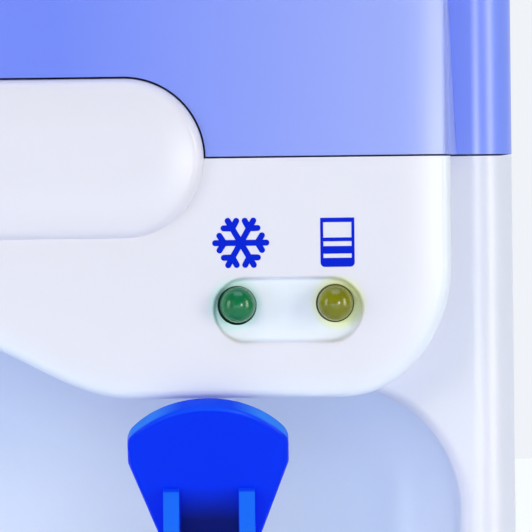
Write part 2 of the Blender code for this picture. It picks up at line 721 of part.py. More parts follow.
def reservoir():
    """The open tank, its gasket and lid, the baffle that keeps the cold water low, and the float."""
    tank = plate("reservoir", [tank_plan(0.0)], TANK_LOW, TANK_TOP)
    for name, (across, depth) in OUTLETS.items():
        start, end = (across, depth, TANK_LOW + 1), (across, depth, 250.0)
        join(tank, rod(f"{name}_nipple", 5.0, start, end, 14))
    front = (-40.0, TANK_FRONT + 1, 336.0), (-40.0, -57.0, 336.0)
    join(tank, rod("ambient_nipple", 5.0, *front, 14))
    cut(tank, plate("tank_inside", [tank_plan(-2.0)], TANK_LOW + 2.0, TANK_TOP + 10.0))
    for name, (across, depth) in OUTLETS.items():
        start, end = (across, depth, TANK_LOW + 5), (across, depth, 240.0)
        cut(tank, rod(f"{name}_outlet", 3.0, start, end, 12))
    cut(tank, rod("ambient_outlet", 3.0, (-40, TANK_FRONT + 6, 336), (-40, -70, 336), 12))
    finish(tank, CLEAR)
    gasket = plate("lid_gasket", [tank_plan(1.0), tank_plan(-3.0)], TANK_TOP + GAP, TANK_TOP + 1.8)
    finish(gasket, SILICONE)
    stem_spot = (48.0, 50.0)
    holes = [circle((0.0, BOTTLE_Y), 37.0, 32), circle(stem_spot, 2.9, 12)]
    lid = plate("reservoir_lid", [tank_plan(1.5), *holes], TANK_TOP + 2.1, TANK_TOP + 5.0)
    finish(lid, CLEAR)
    vents = [circle((0.0, BOTTLE_Y), 12.0, 20), circle(stem_spot, 6.5, 16), circle((-50.0, 60.0), 4.0, 12)]
    baffle = plate("reservoir_baffle", [tank_plan(-2.5), *vents], 316.0, 318.0)
    finish(baffle, CLEAR)
    spot = (*stem_spot, 0.0)
    stem = [(0, 391.4), (5.0, 391.4), (5.0, 387.3), (2.4, 387.3), (2.4, 322.5), (4.6, 322.5)]
    stem += [(4.6, 320.5), (0, 320.5)]
    finish(turned("level_stem", stem, spot, 14), CLEAR)
    ring = [(10.0, 377.0), (11.0, 375.5), (11.0, 362.5), (10.0, 361.0), (3.0, 361.0), (3.0, 377.0)]
    finish(turned("level_float", ring, spot, 20), SILICONE)


def foam_jacket():
    """The insulating box round the cold half of the tank, with a window for the cold block."""
    jacket = plate("foam_jacket", [tank_plan(7.5)], 252.0, 312.0)
    cut(jacket, plate("jacket_inside", [tank_plan(GAP)], TANK_LOW - GAP, 330.0))
    for name, (across, depth) in OUTLETS.items():
        start, end = (across, depth, 270.0), (across, depth, 240.0)
        cut(jacket, rod(f"{name}_jacket_hole", 5.4, start, end, 14))
    low, high = (-25.3, TANK_REAR - 4.0, COOLER_Z - 20.3), (25.3, TANK_REAR + 20.0, COOLER_Z + 20.3)
    cut(jacket, block("cold_window", low, high))
    finish(jacket, FOAM)


def cooler():
    """Cold block, thermoelectric module, finned heat sink and fan, one behind the other."""
    rear = TANK_REAR + GAP
    low, high = (-25.0, rear, COOLER_Z - 20.0), (25.0, 90.0, COOLER_Z + 20.0)
    finish(bevel(block("cold_block", low, high), 0.6, 1), ALUMINIUM)
    low, high = (-20.0, 90.3, COOLER_Z - 19.0), (20.0, 94.2, COOLER_Z + 19.0)
    finish(block("thermoelectric_module", low, high), CERAMIC)
    fins, pitch, thick = 13, 7.0, 1.8
    left = -pitch * (fins - 1) / 2
    comb = [(left + pitch * (fins - 1) + thick / 2, 94.5), (left - thick / 2, 94.5)]
    for fin in range(fins):
        middle = left + pitch * fin
        comb += [(middle - thick / 2, 124.0), (middle + thick / 2, 124.0)]
        if fin < fins - 1:
            comb += [(middle + thick / 2, 100.0), (middle + pitch - thick / 2, 100.0)]
    finish(plate("heat_sink", [comb], COOLER_Z - 42.0, COOLER_Z + 42.0), ALUMINIUM)

    fan_rear = FAN_Y + 20.0
    corners = rounded(-40.0, 40.0, COOLER_Z - 40.0, COOLER_Z + 40.0, (4.0,) * 4, 2)
    frame = plate("fan_frame", [corners, circle((0.0, COOLER_Z), 37.5, 36)], FAN_Y, fan_rear, "XZ")
    hub_rear = (0, fan_rear - 0.1, COOLER_Z)
    motor = rod("fan_motor", 14.0, (0, fan_rear - 4.0, COOLER_Z), hub_rear, 24)
    for step in range(3):
        angle = math.radians(120 * step + 30)
        across, up = math.cos(angle), math.sin(angle)
        start = (8.0 * across, fan_rear - 2.0, COOLER_Z + 8.0 * up)
        end = (39.0 * across, fan_rear - 2.0, COOLER_Z + 39.0 * up)
        join(motor, rod(f"fan_strut_{step}", 1.4, start, end, 8))
    finish(join(frame, motor), BLACK)

    hub_front, hub_back = FAN_Y + 2.0, fan_rear - 4.5
    rotor = rod("fan_rotor", 14.5, (0, hub_front, COOLER_Z), (0, hub_back, COOLER_Z), 24)
    for step in range(7):
        blade = block(f"fan_blade_{step}", (-0.7, -6.3, 12.0), (0.7, 6.3, 36.3))
        pitch_turn = Matrix.Rotation(math.radians(38), 4, "Z")
        round_turn = Matrix.Rotation(2 * math.pi * step / 7, 4, "Y")
        middle = Vector((0, (hub_front + hub_back) / 2, COOLER_Z)) * MM
        blade.data.transform(Matrix.Translation(middle) @ round_turn @ pitch_turn)
        join(rotor, blade)
    finish(rotor, BLACK, (0, hub_front, COOLER_Z))


def hoses():
    """Silicone hoses from the tank to each tap, and from the tank to the drain fitting."""
    cold = [(40, -20, 249.6), (40, -20, 241), (46, -24, 226), (57, -34, 213), (TAP_X, -46, SHANK_Z)]
    cold += [(TAP_X, -53, SHANK_Z), (TAP_X, -61.3, SHANK_Z)]
    finish(tube("cold_tube", 4.5, cold, 7.0), SILICONE)
    ambient = [(-40, -57.5, 336), (-40, -62.5, 336), (-40.6, -69, 333), (-42.5, -71, 324), (-48, -68, 304)]
    ambient += [(-56, -64.6, 280), (-61.1, -62.6, 254), (-TAP_X, -54, 233), (-TAP_X, -42, 219)]
    ambient += [(-TAP_X, -43, 210), (-TAP_X, -51, 208.4), (-TAP_X, -61.3, SHANK_Z)]
    finish(tube("ambient_tube", 3.4, ambient, 12.0), SILICONE)
    drain = [(0, 56, 249.6), (0, 56, 238), (-3, 58, 205), (-22, 68, 150), (-52, 92, 92)]
    drain += [(-67, 114, 58), (-70, 130, 50), (-70, 141.4, 50)]
    finish(tube("drain_tube", 4.5, drain, 14.0), SILICONE)


def drain():
    """The threaded outlet through the rear panel and its screw cap."""
    spot = (DRAIN[0], REAR_Y, DRAIN[1])
    outer = [(6.4, 8.5), (6.4, 3.0), (11.0, 3.0), (11.0, GAP), (7.1, GAP), (7.1, -12.0), (5.0, -12.0)]
    inner = [(5.0, -16.2), (3.2, -16.2), (3.2, 8.5)]
    finish(turned("drain_fitting", outer + inner, spot, 16, "+Y"), WHITE)
    cup = [(0, 12.0), (9.2, 12.0), (10.2, 11.0), (10.2, 3.4), (6.8, 3.4), (6.8, 8.9), (0, 8.9)]
    cap = turned("drain_cap", cup, spot, 20, "+Y")
    grip = (DRAIN[0], REAR_Y + 4.0, DRAIN[1])
    finish(cap, BLUE, grip)


# ---- electrics ---------------------------------------------------------------------------------


def electrics():
    """Power supply on the floor, mains inlet and rocker switch in the rear panel."""
    supply = block("power_supply", (-46.0, 10.0, FLOOR_Z + GAP), (84.0, 112.0, 56.0))
    finish(bevel(supply, 1.0, 1), STEEL)

    across, up = INLET
    low, high = (across - 14, REAR_Y - 20, up - 11), (across + 14, REAR_Y + 1.5, up + 11)
    inlet = block("inlet_socket", low, high)
    low, high = (across - 18, REAR_Y + GAP, up - 14), (across + 18, REAR_Y + 2.3, up + 14)
    join(inlet, block("inlet_flange", low, high))
    low, high = (across - 11.8, REAR_Y - 16, up - 8.2), (across + 11.8, REAR_Y + 10, up + 8.2)
    cut(inlet, block("inlet_mouth", low, high))
    for name, shift, lift in (("live", -7.0, -1.8), ("earth", 0.0, 2.2), ("neutral", 7.0, -1.8)):
        low = (across + shift - 1.0, REAR_Y - 17, up + lift - 2.0)
        high = (across + shift + 1.0, REAR_Y - 4, up + lift + 2.0)
        join(inlet, block(f"inlet_{name}", low, high))
    finish(inlet, BLACK)

    across, up = SWITCH
    low, high = (across - 8, REAR_Y - 16, up - 10), (across + 8, REAR_Y + 1.5, up + 10)
    housing = block("switch_bezel", low, high)
    low, high = (across - 10.5, REAR_Y + GAP, up - 12.5), (across + 10.5, REAR_Y + 2.0, up + 12.5)
    join(housing, block("switch_flange", low, high))
    low, high = (across - 6.5, REAR_Y - 12.8, up - 8.8), (across + 6.5, REAR_Y + 10, up + 8.8)
    cut(housing, block("switch_mouth", low, high))
    finish(housing, BLACK)
    pivot = REAR_Y - 4.0
    top = [(pivot + 7.2, up - 7.7), (pivot + 5.6, up), (pivot + 7.2, up + 7.7)]
    bottom = arc((pivot, up), 8.2, 8.2, 60, 300, 10)
    rocker = plate("switch_rocker", [top + bottom], across - 6.0, across + 6.0, "YZ")
    finish(rocker, BLACK, (across, pivot, up))


# ---- drip tray ---------------------------------------------------------------------------------


def tray_plan(inset):
    front, rear = 20.0 - inset, 6.0 - inset
    half = TRAY_HALF - inset
    return rounded(
        -half, half, TRAY_FRONT + inset, TRAY_REAR - inset, (front, max(rear, 0.5), max(rear, 0.5), front)
    )


def drip_tray():
    """The tray slides out forwards, and its slotted grille lifts off a ledge inside its rim."""
    tray = plate("drip_tray", [tray_plan(0.0)], FLOOR_Z + GAP, TRAY_TOP)
    bevel(tray, 1.0, 1)
    cut(tray, plate("tray_inside", [tray_plan(4.5)], FLOOR_Z + 2.8, TRAY_TOP + 5.0))
    cut(tray, plate("tray_ledge", [tray_plan(2.0)], TRAY_TOP - 3.4, TRAY_TOP + 5.0))
    finish(tray, WHITE, (0, TRAY_FRONT, FLOOR_Z))
    outlines = [tray_plan(2.4)]
    for row in range(6):
        depth = TRAY_FRONT + 19.0 + 10.0 * row
        for side in (-1, 1):
            outlines.append(stadium((side * 42.0, depth), 34.0, 2.6, 2))
    grille = plate("drip_grille", outlines, TRAY_TOP - 3.1, TRAY_TOP - 0.8)
    finish(grille, LEVER_BLUE, (0, TRAY_FRONT, TRAY_TOP))


def main():
    front_fascia()
    top_hood()
    cabinet_shell()
    rear_panel()
    base_plate()
    feet()
    lamps()
    for prefix, across in (("cold", TAP_X), ("ambient", -TAP_X)):
        tap(prefix, across)
        lever(prefix + "_lever", across)
    collar()
    reservoir()
    foam_jacket()
    cooler()
    hoses()
    drain()
    electrics()
    drip_tray()


main()
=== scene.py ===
"""The looks of the countertop water dispenser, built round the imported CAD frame.

Sizes are in millimetres, and the helpers turn them into metres. Places come from the frame.
"""

import json
import math

import bmesh
import bpy
from mathutils import Matrix, Vector


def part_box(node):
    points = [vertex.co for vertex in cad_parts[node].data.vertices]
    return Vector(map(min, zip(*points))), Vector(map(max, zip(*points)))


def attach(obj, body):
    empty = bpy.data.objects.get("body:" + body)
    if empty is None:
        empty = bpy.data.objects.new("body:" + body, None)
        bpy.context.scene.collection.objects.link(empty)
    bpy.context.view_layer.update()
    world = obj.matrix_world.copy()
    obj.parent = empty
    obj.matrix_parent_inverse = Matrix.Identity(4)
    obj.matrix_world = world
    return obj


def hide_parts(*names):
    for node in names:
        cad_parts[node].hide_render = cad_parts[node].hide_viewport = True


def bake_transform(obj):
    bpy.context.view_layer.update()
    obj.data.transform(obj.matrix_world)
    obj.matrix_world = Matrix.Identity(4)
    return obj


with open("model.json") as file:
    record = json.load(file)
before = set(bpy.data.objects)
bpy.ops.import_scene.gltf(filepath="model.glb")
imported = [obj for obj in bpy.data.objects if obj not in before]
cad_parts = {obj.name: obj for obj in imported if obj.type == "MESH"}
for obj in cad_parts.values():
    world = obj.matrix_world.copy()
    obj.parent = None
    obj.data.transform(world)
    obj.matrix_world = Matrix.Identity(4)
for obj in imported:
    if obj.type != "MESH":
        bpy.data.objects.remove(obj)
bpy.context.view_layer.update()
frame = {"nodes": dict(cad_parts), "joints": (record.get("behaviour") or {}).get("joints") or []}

MM = 0.001
WALL = 2.5


def corners(node):
    """A CAD node's lowest and highest corner, in millimetres."""
    low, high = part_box(node)
    return Vector(low) / MM, Vector(high) / MM


def joint(name):
    return next(entry for entry in frame["joints"] if entry["name"] == name)


# ---- places read from the frame ------------------------------------------------------------------

FASCIA_LOW, FASCIA_HIGH = corners("front_fascia")
HOOD_LOW, HOOD_HIGH = corners("top_hood")
CABINET_LOW, CABINET_HIGH = corners("cabinet_shell")
GREEN_LOW, GREEN_HIGH = corners("lens_green")
YELLOW_LOW, YELLOW_HIGH = corners("lens_yellow")
TRAY_LOW, TRAY_HIGH = corners("drip_tray")
GRILLE_LOW, GRILLE_HIGH = corners("drip_grille")
COLLAR_LOW, COLLAR_HIGH = corners("bottle_collar")
PIVOT = Vector(joint("cold_lever_hinge")["pos_m"]) / MM

HALF_WIDTH = HOOD_HIGH.x
REAR_Y = HOOD_HIGH.y
HEAD_Y = HOOD_LOW.y
FRONT_Y = HEAD_Y + 18.0
PAD_RISE = HEAD_Y - FASCIA_LOW.y
SEAM_GAP = 0.4
SEAM_Z = HOOD_LOW.z - SEAM_GAP / 2
PANEL_TOP = SEAM_Z - SEAM_GAP / 2
PAD_HALF_HEIGHT = FASCIA_HIGH.z - SEAM_Z
HEAD_HALF = HALF_WIDTH - 15.0
CHIN_Z = SEAM_Z - 53.6
NICHE_Y = HEAD_Y + 75.0
GREEN = (GREEN_LOW + GREEN_HIGH) / 2
YELLOW = (YELLOW_LOW + YELLOW_HIGH) / 2
POCKET = (80.5, SEAM_Z - 34.0)
TAP_X = PIVOT.x
TAP_Y = PIVOT.y + 4.0
SHANK_Z = PIVOT.z - 24.8
BOTTLE_Y = (COLLAR_LOW.y + COLLAR_HIGH.y) / 2

# Shapes of the head and the niche, close to the CAD part
HEAD_FILLET, CROWN, CROWN_WIDTH = 2.6, 0.9, 10.0
CORNER_WIDE, CORNER_HIGH = 24.4, 29.7
ARCH_HALF, ARCH_RISE = 46.5, 15.4
PAD_HALF_LENGTH = 62.2
NICHE_HALF, NICHE_CORNER, NICHE_STEP, NICHE_BACK_FILLET = 119.2, 28.9, 1.7, 22.0
HOOD_TAPER = 0.0425

# Shapes of the levers, as on the CAD part
LEAN = math.radians(35.0)
LEVER_REACH, PIN_OFFSET = 47.2, 4.0
CHEEK_MIDDLE, CHEEK_HALF = 8.48, 1.8


# ---- mesh helpers --------------------------------------------------------------------------------


def link(name, mesh):
    obj = bpy.data.objects.new(name, mesh)
    bpy.context.scene.collection.objects.link(obj)
    return obj


def from_bmesh(name, shape):
    mesh = bpy.data.meshes.new(name)
    shape.to_mesh(mesh)
    shape.free()
    return link(name, mesh)


def faces_outwards(shape):
    bmesh.ops.recalc_face_normals(shape, faces=shape.faces)
    if shape.calc_volume(signed=True) < 0:
        bmesh.ops.reverse_faces(shape, faces=shape.faces)
    return shape


def loft(name, rings):
    """A closed skin through rings of 3-D points, all of one count, with a face over each end."""
    shape = bmesh.new()
    rows = [[shape.verts.new(Vector(point) * MM) for point in ring] for ring in rings]
    count = len(rings[0])
    for row, following in zip(rows, rows[1:]):
        for index in range(count):
            after = (index + 1) % count
            shape.faces.new((row[index], row[after], following[after], following[index]))
    shape.faces.new(list(reversed(rows[0])))
    shape.faces.new(rows[-1])
    return from_bmesh(name, faces_outwards(shape))


AXES = {
    "+Z": Matrix.Identity(4),
    "-Y": Matrix.Rotation(math.radians(90), 4, "X"),
    "+Y": Matrix.Rotation(math.radians(-90), 4, "X"),
}


def turned(name, profile, centre, steps, axis="+Z"):
    """Turns (radius, height) points about an axis; points on the axis make poles."""
    shape = bmesh.new()
    rows = []
    for radius, height in profile:
        if radius == 0:
            rows.append([shape.verts.new((0, 0, height * MM))])
            continue
        row = []
        for step in range(steps):
            angle = 2 * math.pi * step / steps
            row.append((radius * math.cos(angle) * MM, radius * math.sin(angle) * MM, height * MM))
        rows.append([shape.verts.new(point) for point in row])
    pairs = list(zip(rows, rows[1:]))
    if len(rows[0]) > 1:
        pairs.append((rows[-1], rows[0]))
    for upper, lower in pairs:
        for step in range(steps):
            after = (step + 1) % steps
            face = [upper[step % len(upper)], lower[step % len(lower)]]
            if len(lower) > 1:
                face.append(lower[after])
            if len(upper) > 1:
                face.append(upper[after])
            shape.faces.new(face)
    shape.transform(Matrix.Translation(Vector(centre) * MM) @ AXES[axis])
    return from_bmesh(name, faces_outwards(shape))


def rod(name, radius, start, end, sides=48):
    start, end = Vector(start), Vector(end)
    along = end - start
    turn = along.to_track_quat("Z", "Y").to_matrix().to_4x4()
    shape = bmesh.new()
    bmesh.ops.create_cone(
        shape, cap_ends=True, segments=sides, radius1=radius * MM, radius2=radius * MM,
        depth=along.length * MM,
    )
    shape.transform(Matrix.Translation((start + end) / 2 * MM) @ turn)
    return from_bmesh(name, shape)


PLANES = {
    "XY": Matrix.Identity(4),
    "XZ": Matrix(((1, 0, 0, 0), (0, 0, -1, 0), (0, 1, 0, 0), (0, 0, 0, 1))),
    "YZ": Matrix(((0, 0, 1, 0), (1, 0, 0, 0), (0, 1, 0, 0), (0, 0, 0, 1))),
}


def plate(name, outlines, low, high, plane="XY"):
    """A flat outline, with any holes as further outlines, given thickness from low to high."""
    curve = bpy.data.curves.new(name, "CURVE")
    curve.dimensions = "2D"
    curve.fill_mode = "BOTH"
    curve.extrude = (high - low) / 2 * MM
    for outline in outlines:
        spline = curve.splines.new("POLY")
        spline.points.add(len(outline) - 1)
        spline.use_cyclic_u = True
        for point, (across, up) in zip(spline.points, outline):
            point.co = (across * MM, up * MM, 0.0, 1.0)
    drawn = link(name + "_outline", curve)
    bpy.context.view_layer.update()
    flat = drawn.evaluated_get(bpy.context.evaluated_depsgraph_get())
    mesh = bpy.data.meshes.new_from_object(flat)
    bpy.data.objects.remove(drawn, do_unlink=True)
    middle = (low + high) / 2
    depth = -middle if plane == "XZ" else middle
    shape = bmesh.new()
    shape.from_mesh(mesh)
    bpy.data.meshes.remove(mesh)
    bmesh.ops.remove_doubles(shape, verts=shape.verts, dist=0.000001)
    shape.transform(PLANES[plane] @ Matrix.Translation((0, 0, depth * MM)))
    return from_bmesh(name, faces_outwards(shape))


def settle(obj):
    """Turns the object's modifiers into plain mesh."""
    bpy.context.view_layer.update()
    graph = bpy.context.evaluated_depsgraph_get()
    mesh = bpy.data.meshes.new_from_object(obj.evaluated_get(graph))
    old = obj.data
    obj.modifiers.clear()
    obj.data = mesh
    bpy.data.meshes.remove(old)
    return obj


def combine(obj, operation, *others):
    for other in others:
        modifier = obj.modifiers.new(operation.lower(), "BOOLEAN")
        modifier.operation = operation
        modifier.object = other
    settle(obj)
    for other in others:
        bpy.data.objects.remove(other, do_unlink=True)
    return obj


def cut(obj, *others):
    return combine(obj, "DIFFERENCE", *others)


def join(obj, *others):
    return combine(obj, "UNION", *others)


def bevel(obj, width, segments=3, angle=40.0):
    modifier = obj.modifiers.new("edges", "BEVEL")
    modifier.width = width * MM
    modifier.segments = segments
    modifier.limit_method = "ANGLE"
    modifier.angle_limit = math.radians(angle)
    modifier.use_clamp_overlap = True
    return settle(obj)


def shade(obj, angle=32.0):
    """Smooth faces with crisp edges, and normals weighted so that flat faces stay flat."""
    obj.data.shade_smooth()
    obj.data.set_sharp_from_angle(angle=math.radians(angle))
    weighted = obj.modifiers.new("normals", "WEIGHTED_NORMAL")
    weighted.keep_sharp = True
    weighted.weight = 80
    return obj


def dress(obj, material, slot, body, *nodes):
    """Gives a finished piece its material and its body, and hides the CAD nodes it stands for. Its slot is
    not used.
    """
    obj.data.materials.clear()
    obj.data.materials.append(material)
    for polygon in obj.data.polygons:
        polygon.material_index = 0
    if nodes:
        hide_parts(*nodes)
    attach(obj, body)
    return obj


# ---- outlines ------------------------------------------------------------------------------------


def arc(centre, radius_x, radius_y, start, end, steps):
    points = []
    for step in range(steps + 1):
        angle = math.radians(start + (end - start) * step / steps)
        points.append((centre[0] + radius_x * math.cos(angle), centre[1] + radius_y * math.sin(angle)))
    return points


def stadium(centre, half_length, half_height, steps=24):
    straight = half_length - half_height
    right = arc((centre[0] + straight, centre[1]), half_height, half_height, -90, 90, steps)
    left = arc((centre[0] - straight, centre[1]), half_height, half_height, 90, 270, steps)
    return right + left


def rounded(left, right, low, high, radii, steps=12):
    """A rectangle's outline. The corner radii run from the lower right, round to the lower left."""
    lower_right, upper_right, upper_left, lower_left = radii
    points = arc((right - lower_right, low + lower_right), lower_right, lower_right, -90, 0, steps)
    points += arc((right - upper_right, high - upper_right), upper_right, upper_right, 0, 90, steps)
    points += arc((left + upper_left, high - upper_left), upper_left, upper_left, 90, 180, steps)
    points += arc((left + lower_left, low + lower_left), lower_left, lower_left, 180, 270, steps)
    return points


def mirrored(points):
    """The outline's right half, from its outer end to the middle, with its left half added."""
    return points + [(-across, up) for across, up in reversed(points) if across > 0.001]


def chin_height(across):
    if abs(across) >= ARCH_HALF:
        return CHIN_Z
    return CHIN_Z + ARCH_RISE * (1 + math.cos(math.pi * across / ARCH_HALF)) / 2


def arch_points(lift, steps=32):
    places = [ARCH_HALF * (1 - step / steps) for step in range(steps + 1)]
    return [(across, chin_height(across) + lift) for across in places]


def head_outline(grow, top):
    """The white part of the head, seen from the front."""
    half = HEAD_HALF + grow
    wide, high = CORNER_WIDE + grow, CORNER_HIGH + grow
    corner = arc((half - wide, CHIN_Z - grow + high), wide, high, 0, -90, 40)
    return mirrored([(half, top), *corner, *arch_points(-grow)])


def hood_head_outline(grow, low, taper):
    """The blue part of the head, narrower towards its top by the taper."""
    top = HOOD_HIGH.z - 2.0 + min(grow, 0.0)
    half, radius = HEAD_HALF + grow, 26.0 + grow
    upper = half - taper * (top - radius - SEAM_Z)
    corner = arc((upper - radius, top - radius), radius, radius, 0, 90, 24)
    return mirrored([(half, low), *corner, (0.0, top)])


def niche_outline(grow):
    half, radius = NICHE_HALF + grow, NICHE_CORNER + grow
    top = CHIN_Z + NICHE_STEP + grow
    corner = arc((half - radius, top - radius), radius, radius, 0, 90, 32)
    return mirrored([(half, -60.0), *corner, *arch_points(NICHE_STEP + grow)])


def at_depth(outline, depth):
    return [(across, depth, up) for across, up in outline]


def crowned(name, outline_of, rear, front, fillet, crown, crown_width, ledge=()):
    """A block seen from the front: a side with any ledge, a tight edge, then a face with a slow crown."""
    lean = math.degrees(math.atan2(2 * crown, crown_width))
    rings = [at_depth(outline_of(0.0, 1.0), rear)]
    rings += [at_depth(outline_of(grow, share), depth) for grow, share, depth in ledge]
    for step in range(9):
        angle = math.radians((90 - lean) * step / 8)
        grow = -fillet * (1 - math.cos(angle))
        rings.append(at_depth(outline_of(grow, 0.0), front + crown + fillet * (1 - math.sin(angle))))
    edge_grow, edge_depth = grow, rings[-1][0][1]
    for step in range(1, 11):
        part = step / 10
        depth = front + (edge_depth - front) * (1 - part) ** 2
        rings.append(at_depth(outline_of(edge_grow - crown_width * part, 0.0), depth))
    return loft(name, rings)


# ---- materials -----------------------------------------------------------------------------------


def new_material(name):
    material = bpy.data.materials.new(name)
    material.use_nodes = True
    tree = material.node_tree
    return material, tree, tree.nodes["Principled BSDF"]


def noise(tree, scale, detail=3.0, roughness=0.5, stretch=(1, 1, 1)):
    """A noise texture in the object's own metres."""
    place = tree.nodes.new("ShaderNodeTexCoord")
    mapping = tree.nodes.new("ShaderNodeMapping")
    mapping.inputs["Scale"].default_value = stretch
    texture = tree.nodes.new("ShaderNodeTexNoise")
    texture.inputs["Scale"].default_value = scale
    texture.inputs["Detail"].default_value = detail
    texture.inputs["Roughness"].default_value = roughness
    tree.links.new(place.outputs["Object"], mapping.inputs["Vector"])
    tree.links.new(mapping.outputs["Vector"], texture.inputs["Vector"])
    return texture.outputs["Fac"]


def ranged(tree, value, low, high, first=0.0, last=1.0):
    """Maps a value between first and last on to low to high."""
    node = tree.nodes.new("ShaderNodeMapRange")
    node.inputs["From Min"].default_value = first
    node.inputs["From Max"].default_value = last
    node.inputs["To Min"].default_value = low
    node.inputs["To Max"].default_value = high
    tree.links.new(value, node.inputs["Value"])
    return node.outputs["Result"]


def blend(tree, amount, first, second):
    """Two colours, either of them a socket or a plain colour, mixed by an amount."""
    mix = tree.nodes.new("ShaderNodeMix")
    mix.data_type = "RGBA"
    for name, colour in (("A", first), ("B", second)):
        if isinstance(colour, tuple):
            mix.inputs[name].default_value = (*colour, 1)
        else:
            tree.links.new(colour, mix.inputs[name])
    tree.links.new(amount, mix.inputs["Factor"])
    return mix.outputs["Result"]


def arithmetic(tree, operation, first, second=None):
    node = tree.nodes.new("ShaderNodeMath")
    node.operation = operation
    node.use_clamp = operation in ("MULTIPLY", "ADD")
    for socket, value in zip(node.inputs, (first, second)):
        if isinstance(value, (int, float)):
            socket.default_value = value
        elif value is not None:
            tree.links.new(value, socket)
    return node.outputs["Value"]


def place_parts(tree, output="Object"):
    """X, Y and Z of the point, or of the surface's normal, in the object's own space."""
    place = tree.nodes.new("ShaderNodeTexCoord")
    parts = tree.nodes.new("ShaderNodeSeparateXYZ")
    tree.links.new(place.outputs[output], parts.inputs["Vector"])
    return parts.outputs


def bump(tree, shader, height, strength, distance):
    node = tree.nodes.new("ShaderNodeBump")
    node.inputs["Strength"].default_value = strength
    node.inputs["Distance"].default_value = distance
    tree.links.new(height, node.inputs["Height"])
    tree.links.new(node.outputs["Normal"], shader.inputs["Normal"])


def plastic(name, colour, roughness, grain=0.02, texture_scale=1400.0, texture_depth=0.000006,
            specular=0.5, subsurface=0.0, spread=0.03):
    """Moulded plastic: faint flow mottling, a fine skin texture and uneven gloss."""
    material, tree, shader = new_material(name)
    darker = tuple(channel * (1 - spread) for channel in colour)
    flow = noise(tree, 14.0, 4.0, 0.6)
    tree.links.new(blend(tree, flow, colour, darker), shader.inputs["Base Color"])
    skin = noise(tree, texture_scale, 2.0, 0.5)
    gloss = noise(tree, 60.0, 3.0, 0.6)
    tree.links.new(ranged(tree, gloss, roughness - grain, roughness + grain), shader.inputs["Roughness"])
    bump(tree, shader, skin, 0.25, texture_depth)
    shader.inputs["Specular IOR Level"].default_value = specular
    if subsurface:
        shader.inputs["Subsurface Weight"].default_value = subsurface
        shader.inputs["Subsurface Radius"].default_value = (0.6, 0.7, 1.0)
        shader.inputs["Subsurface Scale"].default_value = 0.001
    return material


def metal(name, colour, roughness, stretch=(1, 1, 1), scale=900.0, depth=0.00002):
    """Metal with brushed or extruded streaks."""
    material, tree, shader = new_material(name)
    streaks = noise(tree, scale, 3.0, 0.6, stretch)
    darker = tuple(channel * 0.82 for channel in colour)
    tree.links.new(blend(tree, streaks, colour, darker), shader.inputs["Base Color"])
    tree.links.new(ranged(tree, streaks, roughness * 0.7, roughness * 1.4), shader.inputs["Roughness"])
    shader.inputs["Metallic"].default_value = 1.0
    bump(tree, shader, streaks, 0.3, depth)
    return material


def distance(tree, spot):
    """How far each point is from a spot of the object's own space."""
    place = tree.nodes.new("ShaderNodeTexCoord")
    node = tree.nodes.new("ShaderNodeVectorMath")
    node.operation = "DISTANCE"
    node.inputs[1].default_value = spot
    tree.links.new(place.outputs["Object"], node.inputs[0])
    return node.outputs["Value"]


def lens_plastic(name, colour, deep):
    """Tinted diffusing lens: darker where the noise is thick, glossy skin."""
    material, tree, shader = new_material(name)
    cloud = noise(tree, 160.0, 3.0, 0.5)
    tree.links.new(blend(tree, cloud, colour, deep), shader.inputs["Base Color"])
    tree.links.new(ranged(tree, noise(tree, 400.0), 0.20, 0.26), shader.inputs["Roughness"])
    shader.inputs["Specular IOR Level"].default_value = 0.3
    shader.inputs["Transmission Weight"].default_value = 0.12
    shader.inputs["IOR"].default_value = 1.5
    shader.inputs["Coat Weight"].default_value = 0.3
    shader.inputs["Coat Roughness"].default_value = 0.2
    return material


def shell_plastic():
    """White shell plastic with faint mottling, and painted light: a painted highlight on the head's rounded
    edge, painted shade on the body front behind the head, blue painted shade in the niche and a painted glow
    from each lamp round its lens.
    """
    material, tree, shader = new_material("white_abs")
    depth = place_parts(tree)["Y"]
    # Painted highlight: from just behind the head's face back, the head's rounded edge and side are painted
    # lighter and cooler.
    edge = ranged(tree, depth, 0.0, 1.0, (HEAD_Y + 0.2) * MM, (HEAD_Y + 1.2) * MM)
    # Painted shade: the body front behind the head is painted darker.
    behind = ranged(tree, depth, 0.0, 1.0, (HEAD_Y + 9.5) * MM, (HEAD_Y + 16.5) * MM)
    # Painted shade in the niche: deeper than the body front the white is painted bluer.
    inside = ranged(tree, depth, 0.0, 1.0, (FRONT_Y + 1.0) * MM, (FRONT_Y + 20.0) * MM)
    colour = blend(tree, edge, (0.775, 0.75, 0.845), (0.81, 0.85, 0.96))
    colour = blend(tree, behind, colour, (0.77, 0.77, 0.895))
    colour = blend(tree, inside, colour, (0.785, 0.845, 1.0))
    # Painted glow: round each lens the shell is painted green or yellow, as though lit by its lamp.
    for lens, aside, painted_lamp_glow in ((GREEN, -0.8, (0.45, 0.88, 0.78)), (YELLOW, 0.8, (0.84, 0.90, 0.12))):
        near = distance(tree, Vector((lens.x + aside, HEAD_Y + 1.0, lens.z)) * MM)
        colour = blend(tree, ranged(tree, near, 0.6, 0.0, 0.0043, 0.0066), colour, painted_lamp_glow)
    flow = ranged(tree, noise(tree, 14.0, 4.0, 0.6), 0.0, 0.03)
    colour = blend(tree, flow, colour, (0.0, 0.0, 0.0))
    tree.links.new(colour, shader.inputs["Base Color"])
    tree.links.new(ranged(tree, noise(tree, 60.0, 3.0, 0.6), 0.32, 0.36), shader.inputs["Roughness"])
    bump(tree, shader, noise(tree, 1400.0, 2.0), 0.25, 0.000006)
    shader.inputs["Subsurface Weight"].default_value = 0.06
    shader.inputs["Subsurface Radius"].default_value = (0.6, 0.7, 1.0)
    shader.inputs["Subsurface Scale"].default_value = 0.001
    return material


